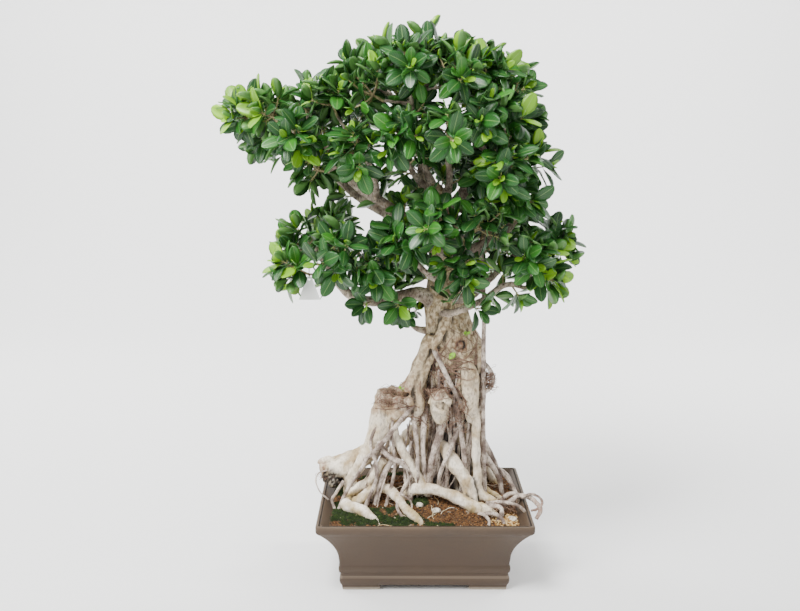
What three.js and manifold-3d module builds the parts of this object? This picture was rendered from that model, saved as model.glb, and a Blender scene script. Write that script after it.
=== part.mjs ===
import * as THREE from "three";
import { mergeVertices } from "three/addons/utils/BufferGeometryUtils.js";
import Module from "manifold-3d";

// A ficus bonsai with bare, cut and crossing roots, in a rectangular ceramic pot.
// Millimetres, +Z up, front towards -Y, feet on Z = 0. Places below are measured from the pot's middle.

const POT_WIDTH = 500;
const POT_DEPTH = 385;
const POT_HEIGHT = 181;
const FOOT_HEIGHT = 13;
const FOOT_LENGTH = 92;
const FOOT_BREADTH = 44;
const FOOT_SETBACK = 55;
const CORNER_RADIUS = 5;
const CORNER_STEPS = 1;
const FLOOR_THICKNESS = 12;
const DRAIN_RADIUS = 14;
const DRAIN_SPACING = 190;

const SOIL_EDGE = 163;
const SOIL_MOUND = 34;
const SOIL_GRAIN = 2.2;
const MOUND_CENTRE = [20, 35];
const MOUND_REACH = [215, 170];

const GAP = 0.3;
const LEAF_LENGTH = 62;
const LEAF_WIDTH = 31;
const LEAF_THICKNESS = 2.2;
const LEAF_FOLD = 3.2;
const LEAF_DROOP = 5;
const SIDE_TILT = 60;
const SIDE_TILT_RANGE = 20;
const SHOOT_REACH = 42;
const SHOOT_REACH_RANGE = 26;
const LEAST_REACH = 20;
const FORK_REACH = 8;
const SHOOTS = 3;
const STEM_LENGTH = 24;
const STEM_RADIUS = 3.2;
const SHOOT_RADIUS = 2.4;
const BUD_LENGTH = 9;
const NODE_HEIGHT = 3.2;
const NODE_RADIUS = 2.8;

const UP = new THREE.Vector3(0, 0, 1);
const wasm = await Module();
wasm.setup();

// Materials, one for each kind of surface.
const ceramic = { color: 0x70604f, roughness: 0.75, metalness: 0 };
const earth = { color: 0x5a4030, roughness: 1, metalness: 0 };
const bark = { color: 0xb9aa99, roughness: 0.9, metalness: 0 };
const foliage = { color: 0x2f6b2c, roughness: 0.4, metalness: 0 };
const pebble = { color: 0xd8d2c4, roughness: 0.85, metalness: 0 };
const whiteCard = { color: 0xf4f4f2, roughness: 0.6, metalness: 0 };
const wireMetal = { color: 0x4a4038, roughness: 0.5, metalness: 0.6 };
const netting = { color: 0x20221f, roughness: 0.7, metalness: 0 };

// A fixed draw between 0 and 1 for each set of whole numbers, the same on every run.
function draw(...keys) {
  let state = 0x9e3779b9;
  for (const key of keys) {
    state = Math.imul(state ^ (key + 0x7f4a7c15), 0x85ebca6b) >>> 0;
    state = Math.imul(state ^ (state >>> 13), 0xc2b2ae35) >>> 0;
    state = (state ^ (state >>> 16)) >>> 0;
  }
  return state / 4294967296;
}

// A closed body for joining and cutting, from any closed geometry.
function solid(geometry) {
  const bare = geometry.clone();
  bare.deleteAttribute("normal");
  bare.deleteAttribute("uv");
  const merged = mergeVertices(bare, 1e-4);
  const vertProperties = new Float32Array(merged.attributes.position.array);
  const triVerts = new Uint32Array(merged.index.array);
  return new wasm.Manifold(new wasm.Mesh({ numProp: 3, vertProperties, triVerts }));
}

// The signed volume of each connected surface, so that loose scraps and sealed hollows can be left out.
function largestBody(positions, triangles) {
  const parent = Array.from({ length: positions.length / 3 }, (_, i) => i);
  const root = (i) => {
    while (parent[i] !== i) {
      parent[i] = parent[parent[i]];
      i = parent[i];
    }
    return i;
  };
  for (let t = 0; t < triangles.length; t += 3) {
    parent[root(triangles[t])] = root(triangles[t + 1]);
    parent[root(triangles[t + 1])] = root(triangles[t + 2]);
  }
  const volumes = new Map();
  const corner = [new THREE.Vector3(), new THREE.Vector3(), new THREE.Vector3()];
  for (let t = 0; t < triangles.length; t += 3) {
    corner.forEach((point, k) => point.fromArray(positions, 3 * triangles[t + k]));
    const body = root(triangles[t]);
    const part = corner[0].dot(corner[1].clone().cross(corner[2])) / 6;
    volumes.set(body, (volumes.get(body) ?? 0) + part);
  }
  const [largest] = [...volumes].reduce((best, entry) => (entry[1] > best[1] ? entry : best));
  const kept = [];
  for (let t = 0; t < triangles.length; t += 3) {
    if (root(triangles[t]) === largest) {
      kept.push(triangles[t], triangles[t + 1], triangles[t + 2]);
    }
  }
  return kept;
}

// A named mesh from corner positions and triangles.
function pieceOf(name, positions, triangles, look) {
  const geometry = new THREE.BufferGeometry();
  geometry.setAttribute("position", new THREE.Float32BufferAttribute(positions, 3));
  geometry.setIndex(triangles);
  geometry.computeVertexNormals();
  const mesh = new THREE.Mesh(geometry, new THREE.MeshStandardMaterial(look));
  mesh.name = name;
  return mesh;
}

// A named mesh from a joined body.
function piece(name, body, look) {
  const { vertProperties, triVerts } = body.getMesh();
  const positions = Array.from(vertProperties);
  return pieceOf(name, positions, largestBody(positions, Array.from(triVerts)), look);
}

// The two directions across a line, for setting its sides and what grows on it.
function acrossOf(tangent, before) {
  const axis = Math.abs(tangent.x) > 0.8 ? new THREE.Vector3(0, 1, 0) : new THREE.Vector3(1, 0, 0);
  const start = before ?? axis;
  const side = start.clone().addScaledVector(tangent, -start.dot(tangent)).normalize();
  return [side, tangent.clone().cross(side)];
}

// A closed tube through points [x, y, z, radius], its rings square to the smooth curve through them.
function bentTube(points, sides, swell = 0) {
  const places = points.map(([x, y, z]) => new THREE.Vector3(x, y, z));
  const curve = new THREE.CatmullRomCurve3(places, false, "centripetal");
  const steps = points.length - 1;
  const tangents = places.map((_, ring) => curve.getTangent(ring / steps));
  const frames = [];
  for (const tangent of tangents) {
    frames.push(acrossOf(tangent, frames.at(-1)?.[0]));
  }
  places[0].addScaledVector(tangents[0], -swell);
  places[steps].addScaledVector(tangents[steps], swell);
  const tube = new THREE.CylinderGeometry(1, 1, 1, sides, steps, false);
  const corner = tube.attributes.position;
  for (let v = 0; v < corner.count; v += 1) {
    const ring = Math.round((corner.getY(v) + 0.5) * steps);
    const radius = points[ring][3] + swell;
    const [side, other] = frames[ring];
    const point = places[ring].clone();
    point.addScaledVector(side, corner.getX(v) * radius);
    point.addScaledVector(other, -corner.getZ(v) * radius);
    corner.setXYZ(v, ...point);
  }
  return tube;
}

// A limb with as many sides as its thickness needs, a little fatter where they are few, to keep its bulk.
function limb(points, swell = 0) {
  const thickest = Math.max(...points.map((point) => point[3]));
  const sides = [[60, 10], [26, 6], [12.5, 5], [8.2, 4], [0, 3]].find(([radius]) => thickest > radius)[1];
  const fatter = Math.sqrt((2 * Math.PI) / (sides * Math.sin((2 * Math.PI) / sides)));
  return bentTube(points.map(([x, y, z, radius]) => [x, y, z, radius * fatter]), sides, swell);
}

// A closed stack of rounded rectangles [height, half width, half depth], bottom to top.
function rectangularStack(levels, cornerRadius, cornerSteps) {
  const ringSize = 4 * (cornerSteps + 1);
  const positions = [];
  for (const [height, halfWidth, halfDepth] of levels) {
    for (let quarter = 0; quarter < 4; quarter += 1) {
      const signX = quarter === 0 || quarter === 3 ? 1 : -1;
      const signY = quarter < 2 ? 1 : -1;
      for (let step = 0; step <= cornerSteps; step += 1) {
        const turn = ((quarter + step / cornerSteps) * Math.PI) / 2;
        positions.push(
          signX * (halfWidth - cornerRadius) + cornerRadius * Math.cos(turn),
          signY * (halfDepth - cornerRadius) + cornerRadius * Math.sin(turn),
          height,
        );
      }
    }
  }
  const index = [];
  for (let level = 0; level + 1 < levels.length; level += 1) {
    for (let i = 0; i < ringSize; i += 1) {
      const a = level * ringSize + i;
      const b = level * ringSize + ((i + 1) % ringSize);
      index.push(a, b, b + ringSize, a, b + ringSize, a + ringSize);
    }
  }
  const top = (levels.length - 1) * ringSize;
  for (let i = 1; i + 1 < ringSize; i += 1) {
    index.push(0, i + 1, i, top, top + i, top + i + 1);
  }
  const geometry = new THREE.BufferGeometry();
  geometry.setAttribute("position", new THREE.Float32BufferAttribute(positions, 3));
  geometry.setIndex(index);
  return geometry;
}

// Levels given as [height, setback from the rim's outer edge].
function setbackLevels(levels) {
  return levels.map(([height, setback]) => [height, POT_WIDTH / 2 - setback, POT_DEPTH / 2 - setback]);
}

// The pot: an upright lip, a hollow cove under it, a plain body, two base beads and four corner feet.
const POT_OUTSIDE = [
  [FOOT_HEIGHT, 54],
  [18, 51.5],
  [31, 50.5],
  [37, 53],
  [43, 53],
  [47, 49.5],
  [58, 48.5],
  [63, 51],
  [80, 49],
  [100, 44],
  [118, 37],
  [133, 28],
  [146, 17.5],
  [158, 7],
  [163, 1.5],
  [168, 0],
  [178, 0],
  [POT_HEIGHT, 2],
];
const GROOVE = [
  [POT_HEIGHT - 1.4, 7.5],
  [POT_HEIGHT + 1, 7.5],
];
const POT_INSIDE = [
  [FOOT_HEIGHT + FLOOR_THICKNESS, 66],
  [125, 62],
  [150, 42],
  [162, 30],
  [POT_HEIGHT - 1.5, 11],
  [POT_HEIGHT + 1, 10],
];
const SOIL_SIDES = [
  [FOOT_HEIGHT + FLOOR_THICKNESS + GAP, 66 + GAP],
  [125, 62 + GAP],
  [150, 42 + GAP],
  [162, 30 + GAP],
  [215, 24],
];

function drainHole(radius, side) {
  const hole = new THREE.CylinderGeometry(radius, radius, 60, 16);
  hole.rotateX(Math.PI / 2);
  hole.translate((side * DRAIN_SPACING) / 2, 0, 20);
  return hole;
}

function makePot() {
  let pot = solid(rectangularStack(setbackLevels(POT_OUTSIDE), CORNER_RADIUS, CORNER_STEPS));
  pot = pot.subtract(solid(rectangularStack(setbackLevels(POT_INSIDE), CORNER_RADIUS, CORNER_STEPS)));
  const grooveOuter = rectangularStack(setbackLevels(GROOVE), CORNER_RADIUS, CORNER_STEPS);
  const grooveInner = rectangularStack(
    setbackLevels(GROOVE.map(([height, setback]) => [height, setback + 1.8])),
    CORNER_RADIUS,
    CORNER_STEPS,
  );
  pot = pot.subtract(solid(grooveOuter).subtract(solid(grooveInner)));
  for (const sideX of [-1, 1]) {
    for (const sideY of [-1, 1]) {
      const foot = new THREE.BoxGeometry(FOOT_LENGTH, FOOT_BREADTH, FOOT_HEIGHT + 2);
      foot.translate(
        sideX * (POT_WIDTH / 2 - FOOT_SETBACK - FOOT_LENGTH / 2),
        sideY * (POT_DEPTH / 2 - FOOT_SETBACK - FOOT_BREADTH / 2),
        (FOOT_HEIGHT + 2) / 2,
      );
      pot = pot.add(solid(foot));
    }
    pot = pot.subtract(solid(drainHole(DRAIN_RADIUS, sideX)));
  }
  return pot;
}

// Netting over each drain hole, under the soil: crossing strips on the pot's floor.
const NET_SIDE = 48;
const NET_THICKNESS = 1.6;
const NET_STRIP = 3;
const NET_STRIPS = 2;

function makeNetting(side) {
  const height = FOOT_HEIGHT + FLOOR_THICKNESS + GAP + NET_THICKNESS / 2;
  let netting = null;
  for (let strip = 0; strip < NET_STRIPS; strip += 1) {
    const offset = (strip / (NET_STRIPS - 1) - 0.5) * (NET_SIDE - NET_STRIP);
    for (const turned of [false, true]) {
      const size = turned ? [NET_STRIP, NET_SIDE] : [NET_SIDE, NET_STRIP];
      const bar = new THREE.BoxGeometry(...size, NET_THICKNESS);
      bar.translate(turned ? offset : 0, turned ? 0 : offset, 0);
      bar.translate((side * DRAIN_SPACING) / 2, 0, height);
      netting = netting ? netting.add(solid(bar)) : solid(bar);
    }
  }
  return netting;
}

// The height of the soil's surface: level at the pot's walls, mounded round the roots, and grainy.
function soilHeight(x, y) {
  const acrossX = Math.max(0, 1 - ((x - MOUND_CENTRE[0]) / MOUND_REACH[0]) ** 2);
  const acrossY = Math.max(0, 1 - ((y - MOUND_CENTRE[1]) / MOUND_REACH[1]) ** 2);
  return SOIL_EDGE + SOIL_MOUND * acrossX * acrossY;
}

// Limbs are lists of points [x, y, z, radius], from the thick end.
// The trunk, from its spread foot in the soil up to the crown's first fork.
const TRUNK = [
  [[62, 46, 145, 94], [68, 45, 190, 82], [80, 42, 250, 68], [83, 36, 362, 66], [79, 30, 478, 72],
    [70, 26, 554, 70], [58, 24, 611, 56], [48, 22, 665, 48], [54, 20, 750, 36], [53, 20, 814, 28],
    [50, 16, 872, 22], [36, 6, 918, 17], [20, 0, 942, 10]],
];

// Old stumps with cut tops, and the ridges that run from the trunk down to them.
const STUMPS = [
  [[-67, -4, 441, 44], [-72, -4, 416, 52], [-94, -6, 380, 36], [-110, -8, 340, 28], [-130, -6, 302, 19]],
  [[16, 14, 575, 17], [-8, 6, 522, 14], [-34, 2, 468, 15], [-66, 0, 415, 24]],
  [[33, -10, 563, 16], [0, -18, 505, 14], [-31, -18, 410, 16]],
  [[30, -40, 460, 19], [35, -42, 437, 24], [42, -30, 380, 18]],
  [[-110, 48, 285, 16], [-145, 50, 266, 26], [-180, 55, 246, 30], [-215, 58, 231, 29],
    [-241, 60, 226, 25], [-256, 60, 224, 19]],
  [[60, 70, 430, 30], [20, 95, 330, 26], [-10, 110, 240, 20], [-26, 116, 160, 18]],
  [[110, 60, 420, 26], [135, 90, 320, 20], [154, 110, 160, 16]],
];

// Roots as thick as a thumb, standing in the soil or arching over it.
const THICK_ROOTS = [
  [[-116, -10, 330, 22], [-150, 0, 270, 16], [-176, 12, 220, 14], [-186, 22, 154, 12]],
  [[-160, 50, 248, 20], [-184, 46, 205, 17], [-186, 46, 154, 13]],
  [[54, 4, 328, 17], [62, -18, 289, 16], [88, -32, 258, 16], [110, -42, 215, 16], [118, -46, 152, 17]],
  [[-78, -18, 368, 13], [-46, -40, 300, 10], [-4, -40, 227, 10], [16, -26, 180, 9]],
  [[-176, -2, 160, 12], [-152, -34, 184, 11], [-121, -26, 205, 10], [-94, -30, 213, 10],
    [-72, -48, 205, 10], [-44, -94, 184, 9], [-15, -119, 168, 8]],
  [[-96, -20, 280, 10], [-128, -14, 228, 9], [-160, 2, 200, 9], [-188, -14, 178, 11],
    [-186, -48, 176, 12], [-150, -82, 178, 11], [-112, -108, 162, 9]],
  [[-44, -2, 165, 12], [-30, -20, 210, 11], [15, -34, 217, 11], [50, -48, 210, 12], [82, -62, 198, 12],
    [112, -76, 187, 13], [142, -82, 179, 15], [168, -86, 162, 12]],
  [[109, -20, 469, 13], [122, -30, 400, 11], [124, -34, 300, 10], [130, -34, 230, 11],
    [136, -32, 155, 11]],
  [[116, 20, 215, 14], [150, 4, 195, 10], [180, -8, 183, 8], [202, -10, 157, 7]],
  [[112, -26, 218, 12], [148, -40, 193, 10], [174, -50, 182, 9], [198, -54, 157, 8]],
  [[120, 60, 300, 13], [165, 86, 215, 10], [194, 104, 157, 9]],
  [[-20, 60, 330, 18], [-86, 84, 250, 14], [-150, 110, 155, 11]],
  [[60, 90, 300, 20], [70, 122, 200, 14], [74, 134, 157, 11]],
];

// Thin hanging roots over the trunk's foot, and the ones that coil over the rim.
const THIN_ROOTS = [
  [[12, 6, 575, 8], [34, -38, 534, 6], [76, -42, 449, 5], [98, -30, 410, 6]],
  [[54, -22, 395, 10], [32, -40, 337, 8], [16, -42, 270, 8], [14, -28, 185, 8]],
  [[84, -24, 365, 7], [60, -50, 310, 5], [38, -54, 255, 5], [40, -30, 180, 5]],
  [[4, -10, 412, 9], [-3, -42, 325, 6], [2, -40, 240, 6], [6, -22, 185, 6]],
  [[72, -24, 440, 8], [92, -40, 330, 6], [98, -38, 250, 6], [94, -26, 185, 6]],
  [[-26, -24, 395, 7], [-16, -54, 315, 4.5], [-14, -50, 240, 4.5], [-6, -20, 185, 6]],
  [[-120, -14, 365, 10], [-91, -40, 303, 7], [-53, -48, 281, 7], [-22, -38, 250, 7]],
  [[-20, -26, 430, 8], [-67, -56, 376, 6], [-110, -44, 318, 5.5], [-150, -4, 268, 7]],
  [[-70, -34, 292, 8], [-98, -46, 250, 6], [-122, -52, 160, 6]],
  [[132, 20, 796, 6], [139, -6, 700, 5], [140, -24, 500, 6], [141, -24, 400, 6], [145, -12, 250, 8],
    [149, -6, 155, 9]],
  [[128, -10, 530, 6], [157, -18, 503, 5], [163, -20, 470, 5], [140, -22, 446, 6]],
  [[136, 36, 325, 11], [184, 48, 235, 6], [202, 60, 157, 6]],
  [[136, 20, 295, 11], [184, 24, 222, 6], [200, 28, 155, 6]],
  [[172, -48, 172, 8], [202, -62, 188, 6], [232, -36, 194, 5.5], [250, -48, 196, 5.5],
    [266, -82, 195, 5.5], [273, -104, 186, 5.5], [262, -116, 170, 5]],
  [[140, -78, 178, 10], [163, -88, 190, 6], [182, -102, 186, 5.5], [168, -122, 158, 6]],
];

// The branches of the two low arms.
const LOW_BRANCHES = [
  [[36, 14, 652, 24], [-8, -4, 684, 18], [-50, -20, 684, 14], [-110, -33, 674, 13],
    [-160, -38, 681, 12], [-198, -36, 714, 10], [-226, -32, 758, 7.5], [-252, -26, 790, 6]],
  [[-80, -24, 680, 11], [-116, 26, 705, 8], [-168, 85, 780, 5.5]],
  [[24, 30, 590, 13], [-8, 36, 590, 8], [-38, 36, 602, 5]],
  [[40, -10, 640, 13], [66, -48, 649, 8], [128, -60, 679, 7], [191, -50, 716, 6.5],
    [240, -48, 711, 4.8]],
  [[40, 0, 690, 18], [87, -24, 676, 10], [147, -5, 714, 8], [210, 20, 770, 6.5], [256, 22, 792, 5]],
  [[55, 20, 770, 24], [100, 18, 784, 11], [165, 26, 814, 9], [200, 28, 838, 9], [214, 28, 862, 10]],
  [[50, 0, 764, 15], [24, -72, 812, 6]],
  [[44, 0, 712, 15], [2, -50, 744, 7], [-30, -66, 778, 6]],
  [[52, 40, 745, 16], [0, 104, 778, 6]],
  [[62, 40, 730, 15], [146, 106, 768, 6]],
];

// The branches of the high left arm and the crown.
const HIGH_BRANCHES = [
  [[50, 14, 792, 24], [8, -4, 830, 16], [-40, -18, 860, 13], [-90, -22, 897, 11.5],
    [-140, -26, 927, 10.5], [-176, -28, 960, 9], [-192, -30, 985, 8]],
  [[-184, -29, 972, 8], [-163, -50, 1028, 6], [-170, -74, 1054, 5]],
  [[-187, -30, 976, 8.5], [-207, -28, 1010, 7], [-246, -22, 1048, 6], [-270, -8, 1094, 5]],
  [[-232, -26, 1030, 6.5], [-282, -82, 1054, 5]],
  [[42, 26, 802, 20], [-20, 30, 842, 15], [-100, 38, 878, 13.5], [-159, 44, 913, 11.5],
    [-223, 50, 964, 8], [-297, 40, 998, 6.5], [-370, 8, 1048, 5]],
  [[-205, 49, 950, 9], [-236, 102, 1032, 5.5]],
  [[-108, 38, 880, 13], [-134, 74, 945, 8], [-150, 124, 1040, 5]],
  [[-110, -22, 908, 10], [-124, -96, 988, 5.5]],
  [[40, 8, 910, 14], [-6, -26, 944, 8], [-30, -58, 974, 6.5], [-46, -94, 1008, 5.5]],
  [[24, 0, 928, 11], [0, -34, 980, 7.5], [-20, -62, 1050, 6.5], [-34, -94, 1146, 5]],
  [[50, 18, 868, 17], [0, 40, 910, 11], [-6, 52, 1000, 9.5], [-2, 42, 1095, 7.5], [2, 6, 1160, 6]],
  [[-2, 42, 1095, 7.5], [-40, 20, 1126, 6], [-90, -4, 1146, 5]],
  [[-2, 42, 1095, 6.5], [-46, 38, 1150, 5]],
  [[-6, 52, 998, 9], [-40, 96, 1072, 6.5], [-80, 132, 1148, 5]],
  [[-4, 48, 1066, 8], [10, 102, 1166, 5]],
  [[44, 12, 900, 14], [54, -50, 950, 8], [46, -108, 1018, 6]],
  [[52, 16, 858, 22], [84, -6, 918, 13], [130, -20, 982, 11], [160, -24, 1030, 10],
    [171, -20, 1092, 10], [150, -16, 1124, 7], [134, -34, 1140, 5]],
  [[169, -22, 1078, 9], [186, 6, 1106, 5]],
  [[154, -16, 1112, 7], [106, 12, 1182, 5]],
  [[140, -22, 996, 9], [114, -90, 1064, 5]],
  [[156, -24, 1022, 9], [198, -42, 1054, 5]],
  [[100, -12, 940, 11], [116, 36, 1000, 8], [120, 108, 1128, 5]],
  [[138, 22, 800, 11], [166, 66, 866, 8.5], [180, 108, 955, 6.5], [192, 132, 1006, 5]],
  [[174, 94, 926, 8], [224, 52, 954, 5]],
  [[184, 116, 970, 7], [206, 114, 1030, 5]],
  [[210, 28, 852, 8], [208, -18, 878, 5]],
  [[56, 20, 872, 16], [58, 84, 910, 9], [60, 130, 940, 5]],
  [[116, -16, 962, 10], [158, -74, 966, 5]],
];

// Each spray of leaves as [name, x, y, z of its middle, size against the usual]. The stem comes from the
// nearest branch below it.
const SPRAYS = [
  ["arm_1", -405, -20, 1094, 0.6],
  ["arm_2", -339, -78, 1096, 0.6],
  ["arm_3", -372, 62, 1055, 0.6],
  ["arm_4", -288, -112, 1045, 0.8],
  ["arm_5", -274, 24, 1114, 0.65],
  ["arm_6", -204, -86, 1119, 0.8],
  ["arm_7", -242, 130, 1070, 1],
  ["arm_8", -245, -20, 975, 0.6],
  ["crown_1", -136, -10, 1176, 0.7],
  ["crown_2", -116, -110, 1140, 1],
  ["crown_3", -70, 44, 1188, 1],
  ["crown_4", 4, -40, 1204, 1],
  ["crown_5", 86, 26, 1204, 0.9],
  ["crown_6", -34, -128, 1190, 1],
  ["crown_7", 56, -130, 1170, 1],
  ["crown_8", 128, -58, 1178, 0.85],
  ["crown_9", 204, 22, 1148, 0.7],
  ["crown_10", -104, 158, 1189, 0.95],
  ["crown_11", 14, 136, 1204, 1],
  ["crown_12", 120, 136, 1172, 0.9],
  ["middle_1", -142, -132, 1020, 1],
  ["middle_2", -52, -150, 1050, 1],
  ["middle_3", 44, -160, 1062, 1],
  ["middle_4", 124, -128, 1090, 1],
  ["middle_5", 186, -64, 1074, 0.8],
  ["middle_6", 241, 26, 980, 0.7],
  ["middle_7", 168, -112, 980, 0.95],
  ["middle_8", -160, 152, 1078, 1],
  ["middle_9", 70, 150, 971, 0.9],
  ["middle_10", 182, 148, 1030, 0.9],
  ["middle_11", 222, 120, 1068, 0.7],
  ["middle_12", 204, -56, 910, 0.65],
  ["low_left_1", -280, -16, 795, 0.7],
  ["low_left_2", -244, 58, 824, 0.65],
  ["low_left_3", -285, -70, 752, 0.65],
  ["low_left_4", -196, -104, 782, 1],
  ["low_left_5", -217, 120, 817, 0.65],
  ["low_left_6", -112, -66, 746, 1],
  ["low_left_7", -36, 36, 628, 0.55],
  ["low_middle_1", -49, -96, 813, 0.85],
  ["low_middle_2", 26, -124, 852, 1],
  ["low_middle_3", 116, -110, 850, 1],
  ["low_middle_4", 66, -104, 762, 0.9],
  ["low_middle_5", -18, 136, 760, 0.75],
  ["low_middle_6", 172, 132, 788, 1],
  ["low_right_1", 292, 26, 797, 0.7],
  ["low_right_2", 237, -72, 775, 0.75],
  ["low_right_3", 260, -48, 732, 0.6],
];

// The hanging card, blank on both faces, and the wire tie that holds it to a twig.
// A bare twig, and the blank card that hangs from it by a loop of wire.
const CARD_TWIG = [[-226, -34, 756, 6], [-240, -70, 764, 3.4], [-288, -78, 771, 2.4]];
const CARD_TOP = [-264, -74, 738];
const CARD_HEIGHT = 54;
const CARD_TOP_WIDTH = 10;
const CARD_FOOT_WIDTH = 50;
const CARD_THICKNESS = 0.8;
const CARD_HOLE = 2.5;
const CARD_HOLE_DEPTH = 7;
const TIE_RADIUS = 0.7;
const TIE_TOP = 767.5;
const TIE_BEND = 6.4;

const vector = (point) => new THREE.Vector3(point[0], point[1], point[2]);
const ROOT_LIMBS = [...TRUNK, ...STUMPS, ...THICK_ROOTS, ...THIN_ROOTS];
const BRANCH_LIMBS = [...LOW_BRANCHES, ...HIGH_BRANCHES];

// The straight spans of every limb, for finding the nearest wood to a point.
function spansOf(limbs) {
  const spans = [];
  for (const points of limbs) {
    for (let i = 0; i + 1 < points.length; i += 1) {
      const line = new THREE.Line3(vector(points[i]), vector(points[i + 1]));
      spans.push({ line, startRadius: points[i][3], endRadius: points[i + 1][3] });
    }
  }
  return spans;
}

// The distance from a point to the bark of the nearest span.
function clearance(point, spans) {
  let least = Infinity;
  const near = new THREE.Vector3();
  for (const { line, startRadius, endRadius } of spans) {
    const share = line.closestPointToPointParameter(point, true);
    line.at(share, near);
    least = Math.min(least, near.distanceTo(point) - THREE.MathUtils.lerp(startRadius, endRadius, share));
  }
  return least;
}

// The stem of each spray starts at a joint just short of its middle. A branch that ends near that joint grows
// on into it, and otherwise a twig of wood runs to it from the nearest branch.
const REACH_OF_AN_END = 82;
const SHORTEST_GROWTH = 12;
const TWIG_SHARE = 0.8;
const TWIG_RADIUS = 4.5;
const RISE = 0.35;
const branches = BRANCH_LIMBS.map((points) => points.map((point) => [...point]));
const ends = branches.map((points) => ({ points, tip: vector(points.at(-1)), taken: false }));
const branchSpans = spansOf(BRANCH_LIMBS);

function nearestWood(hub) {
  let best = null;
  for (const { line, startRadius, endRadius } of branchSpans) {
    for (const share of [0, 0.25, 0.5, 0.75, 1]) {
      const from = line.at(share, new THREE.Vector3());
      const cost = from.distanceTo(hub) + Math.max(0, from.z - hub.z + 20);
      if (!best || cost < best.cost) {
        best = { cost, from, radius: THREE.MathUtils.lerp(startRadius, endRadius, share) };
      }
    }
  }
  return best;
}

const sprayPlaces = SPRAYS.map(([name, x, y, z, size], number) => {
  const hub = new THREE.Vector3(x, y, z);
  const free = ends.filter((end) => !end.taken && end.tip.distanceTo(hub) < REACH_OF_AN_END);
  const end = free.sort((a, b) => a.tip.distanceTo(hub) - b.tip.distanceTo(hub))[0];
  const { from, radius } = end ? { from: end.tip, radius: end.points.at(-1)[3] } : nearestWood(hub);
  const rising = hub.clone().sub(from).normalize().addScaledVector(UP, RISE).normalize();
  const joint = hub.clone().addScaledVector(rising, -STEM_LENGTH);
  const jointPoint = [...joint, STEM_RADIUS];
  if (end) {
    end.taken = true;
    if (end.tip.distanceTo(joint) > SHORTEST_GROWTH) {
      end.points.push(jointPoint);
    } else {
      end.points[end.points.length - 1] = jointPoint;
    }
  } else {
    branches.push([[...from, Math.min(TWIG_SHARE * radius, TWIG_RADIUS)], jointPoint]);
  }
  const [before] = (end ? end.points : branches.at(-1)).slice(-2);
  const ending = joint.clone().sub(vector(before)).normalize();
  return { name, number, hub, size, joint, rising, ending };
});

const CARD_ROOM = [
  [...CARD_TOP.slice(0, 2), TIE_TOP, TIE_BEND],
  [...CARD_TOP, CARD_TOP_WIDTH / 2],
  [...CARD_TOP.slice(0, 2), CARD_TOP[2] - CARD_HEIGHT, CARD_FOOT_WIDTH / 2],
];
const woodSpans = spansOf([...branches, CARD_TWIG, ...TRUNK, ...THIN_ROOTS, CARD_ROOM]);

// True where a point lies nearer to its own spray's middle than to any other's.
function inOwnCell(point, place, margin) {
  for (const other of sprayPlaces) {
    if (other !== place) {
      const apart = other.hub.distanceTo(place.hub);
      const middle = place.hub.clone().lerp(other.hub, 0.5);
      const beyond = point.clone().sub(middle).dot(other.hub.clone().sub(place.hub)) / apart;
      if (beyond > -margin) {
        return false;
      }
    }
  }
  return true;
}

// The edge and underside of one leaf: a blunt oval, folded up a little along its rib, its tip bent down.
function leafPoints(base, heading, face, length) {
  const width = (LEAF_WIDTH / LEAF_LENGTH) * length;
  const across = face.clone().cross(heading).normalize();
  const at = (along, sideways, lift) =>
    base
      .clone()
      .addScaledVector(heading, along * length)
      .addScaledVector(across, sideways * width)
      .addScaledVector(face, lift);
  return [
    at(0.48, -0.44, LEAF_FOLD),
    at(0.82, -0.4, LEAF_FOLD - LEAF_DROOP),
    at(1, 0, -LEAF_DROOP),
    at(0.82, 0.4, LEAF_FOLD - LEAF_DROOP),
    at(0.48, 0.44, LEAF_FOLD),
    at(0.6, 0, -LEAF_THICKNESS - 0.4 * LEAF_DROOP),
  ];
}

// The least distance between two straight spans.
function between(a, b) {
  const alongA = a.end.clone().sub(a.start);
  const alongB = b.end.clone().sub(b.start);
  const apart = a.start.clone().sub(b.start);
  const aa = alongA.dot(alongA);
  const bb = alongB.dot(alongB);
  const ab = alongA.dot(alongB);
  const ca = alongA.dot(apart);
  const cb = alongB.dot(apart);
  const spread = aa * bb - ab * ab;
  let shareA = spread > 1e-6 ? THREE.MathUtils.clamp((ab * cb - ca * bb) / spread, 0, 1) : 0;
  const shareB = THREE.MathUtils.clamp((ab * shareA + cb) / bb, 0, 1);
  shareA = THREE.MathUtils.clamp((ab * shareB - ca) / aa, 0, 1);
  return a.at(shareA, new THREE.Vector3()).distanceTo(b.at(shareB, new THREE.Vector3()));
}

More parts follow.
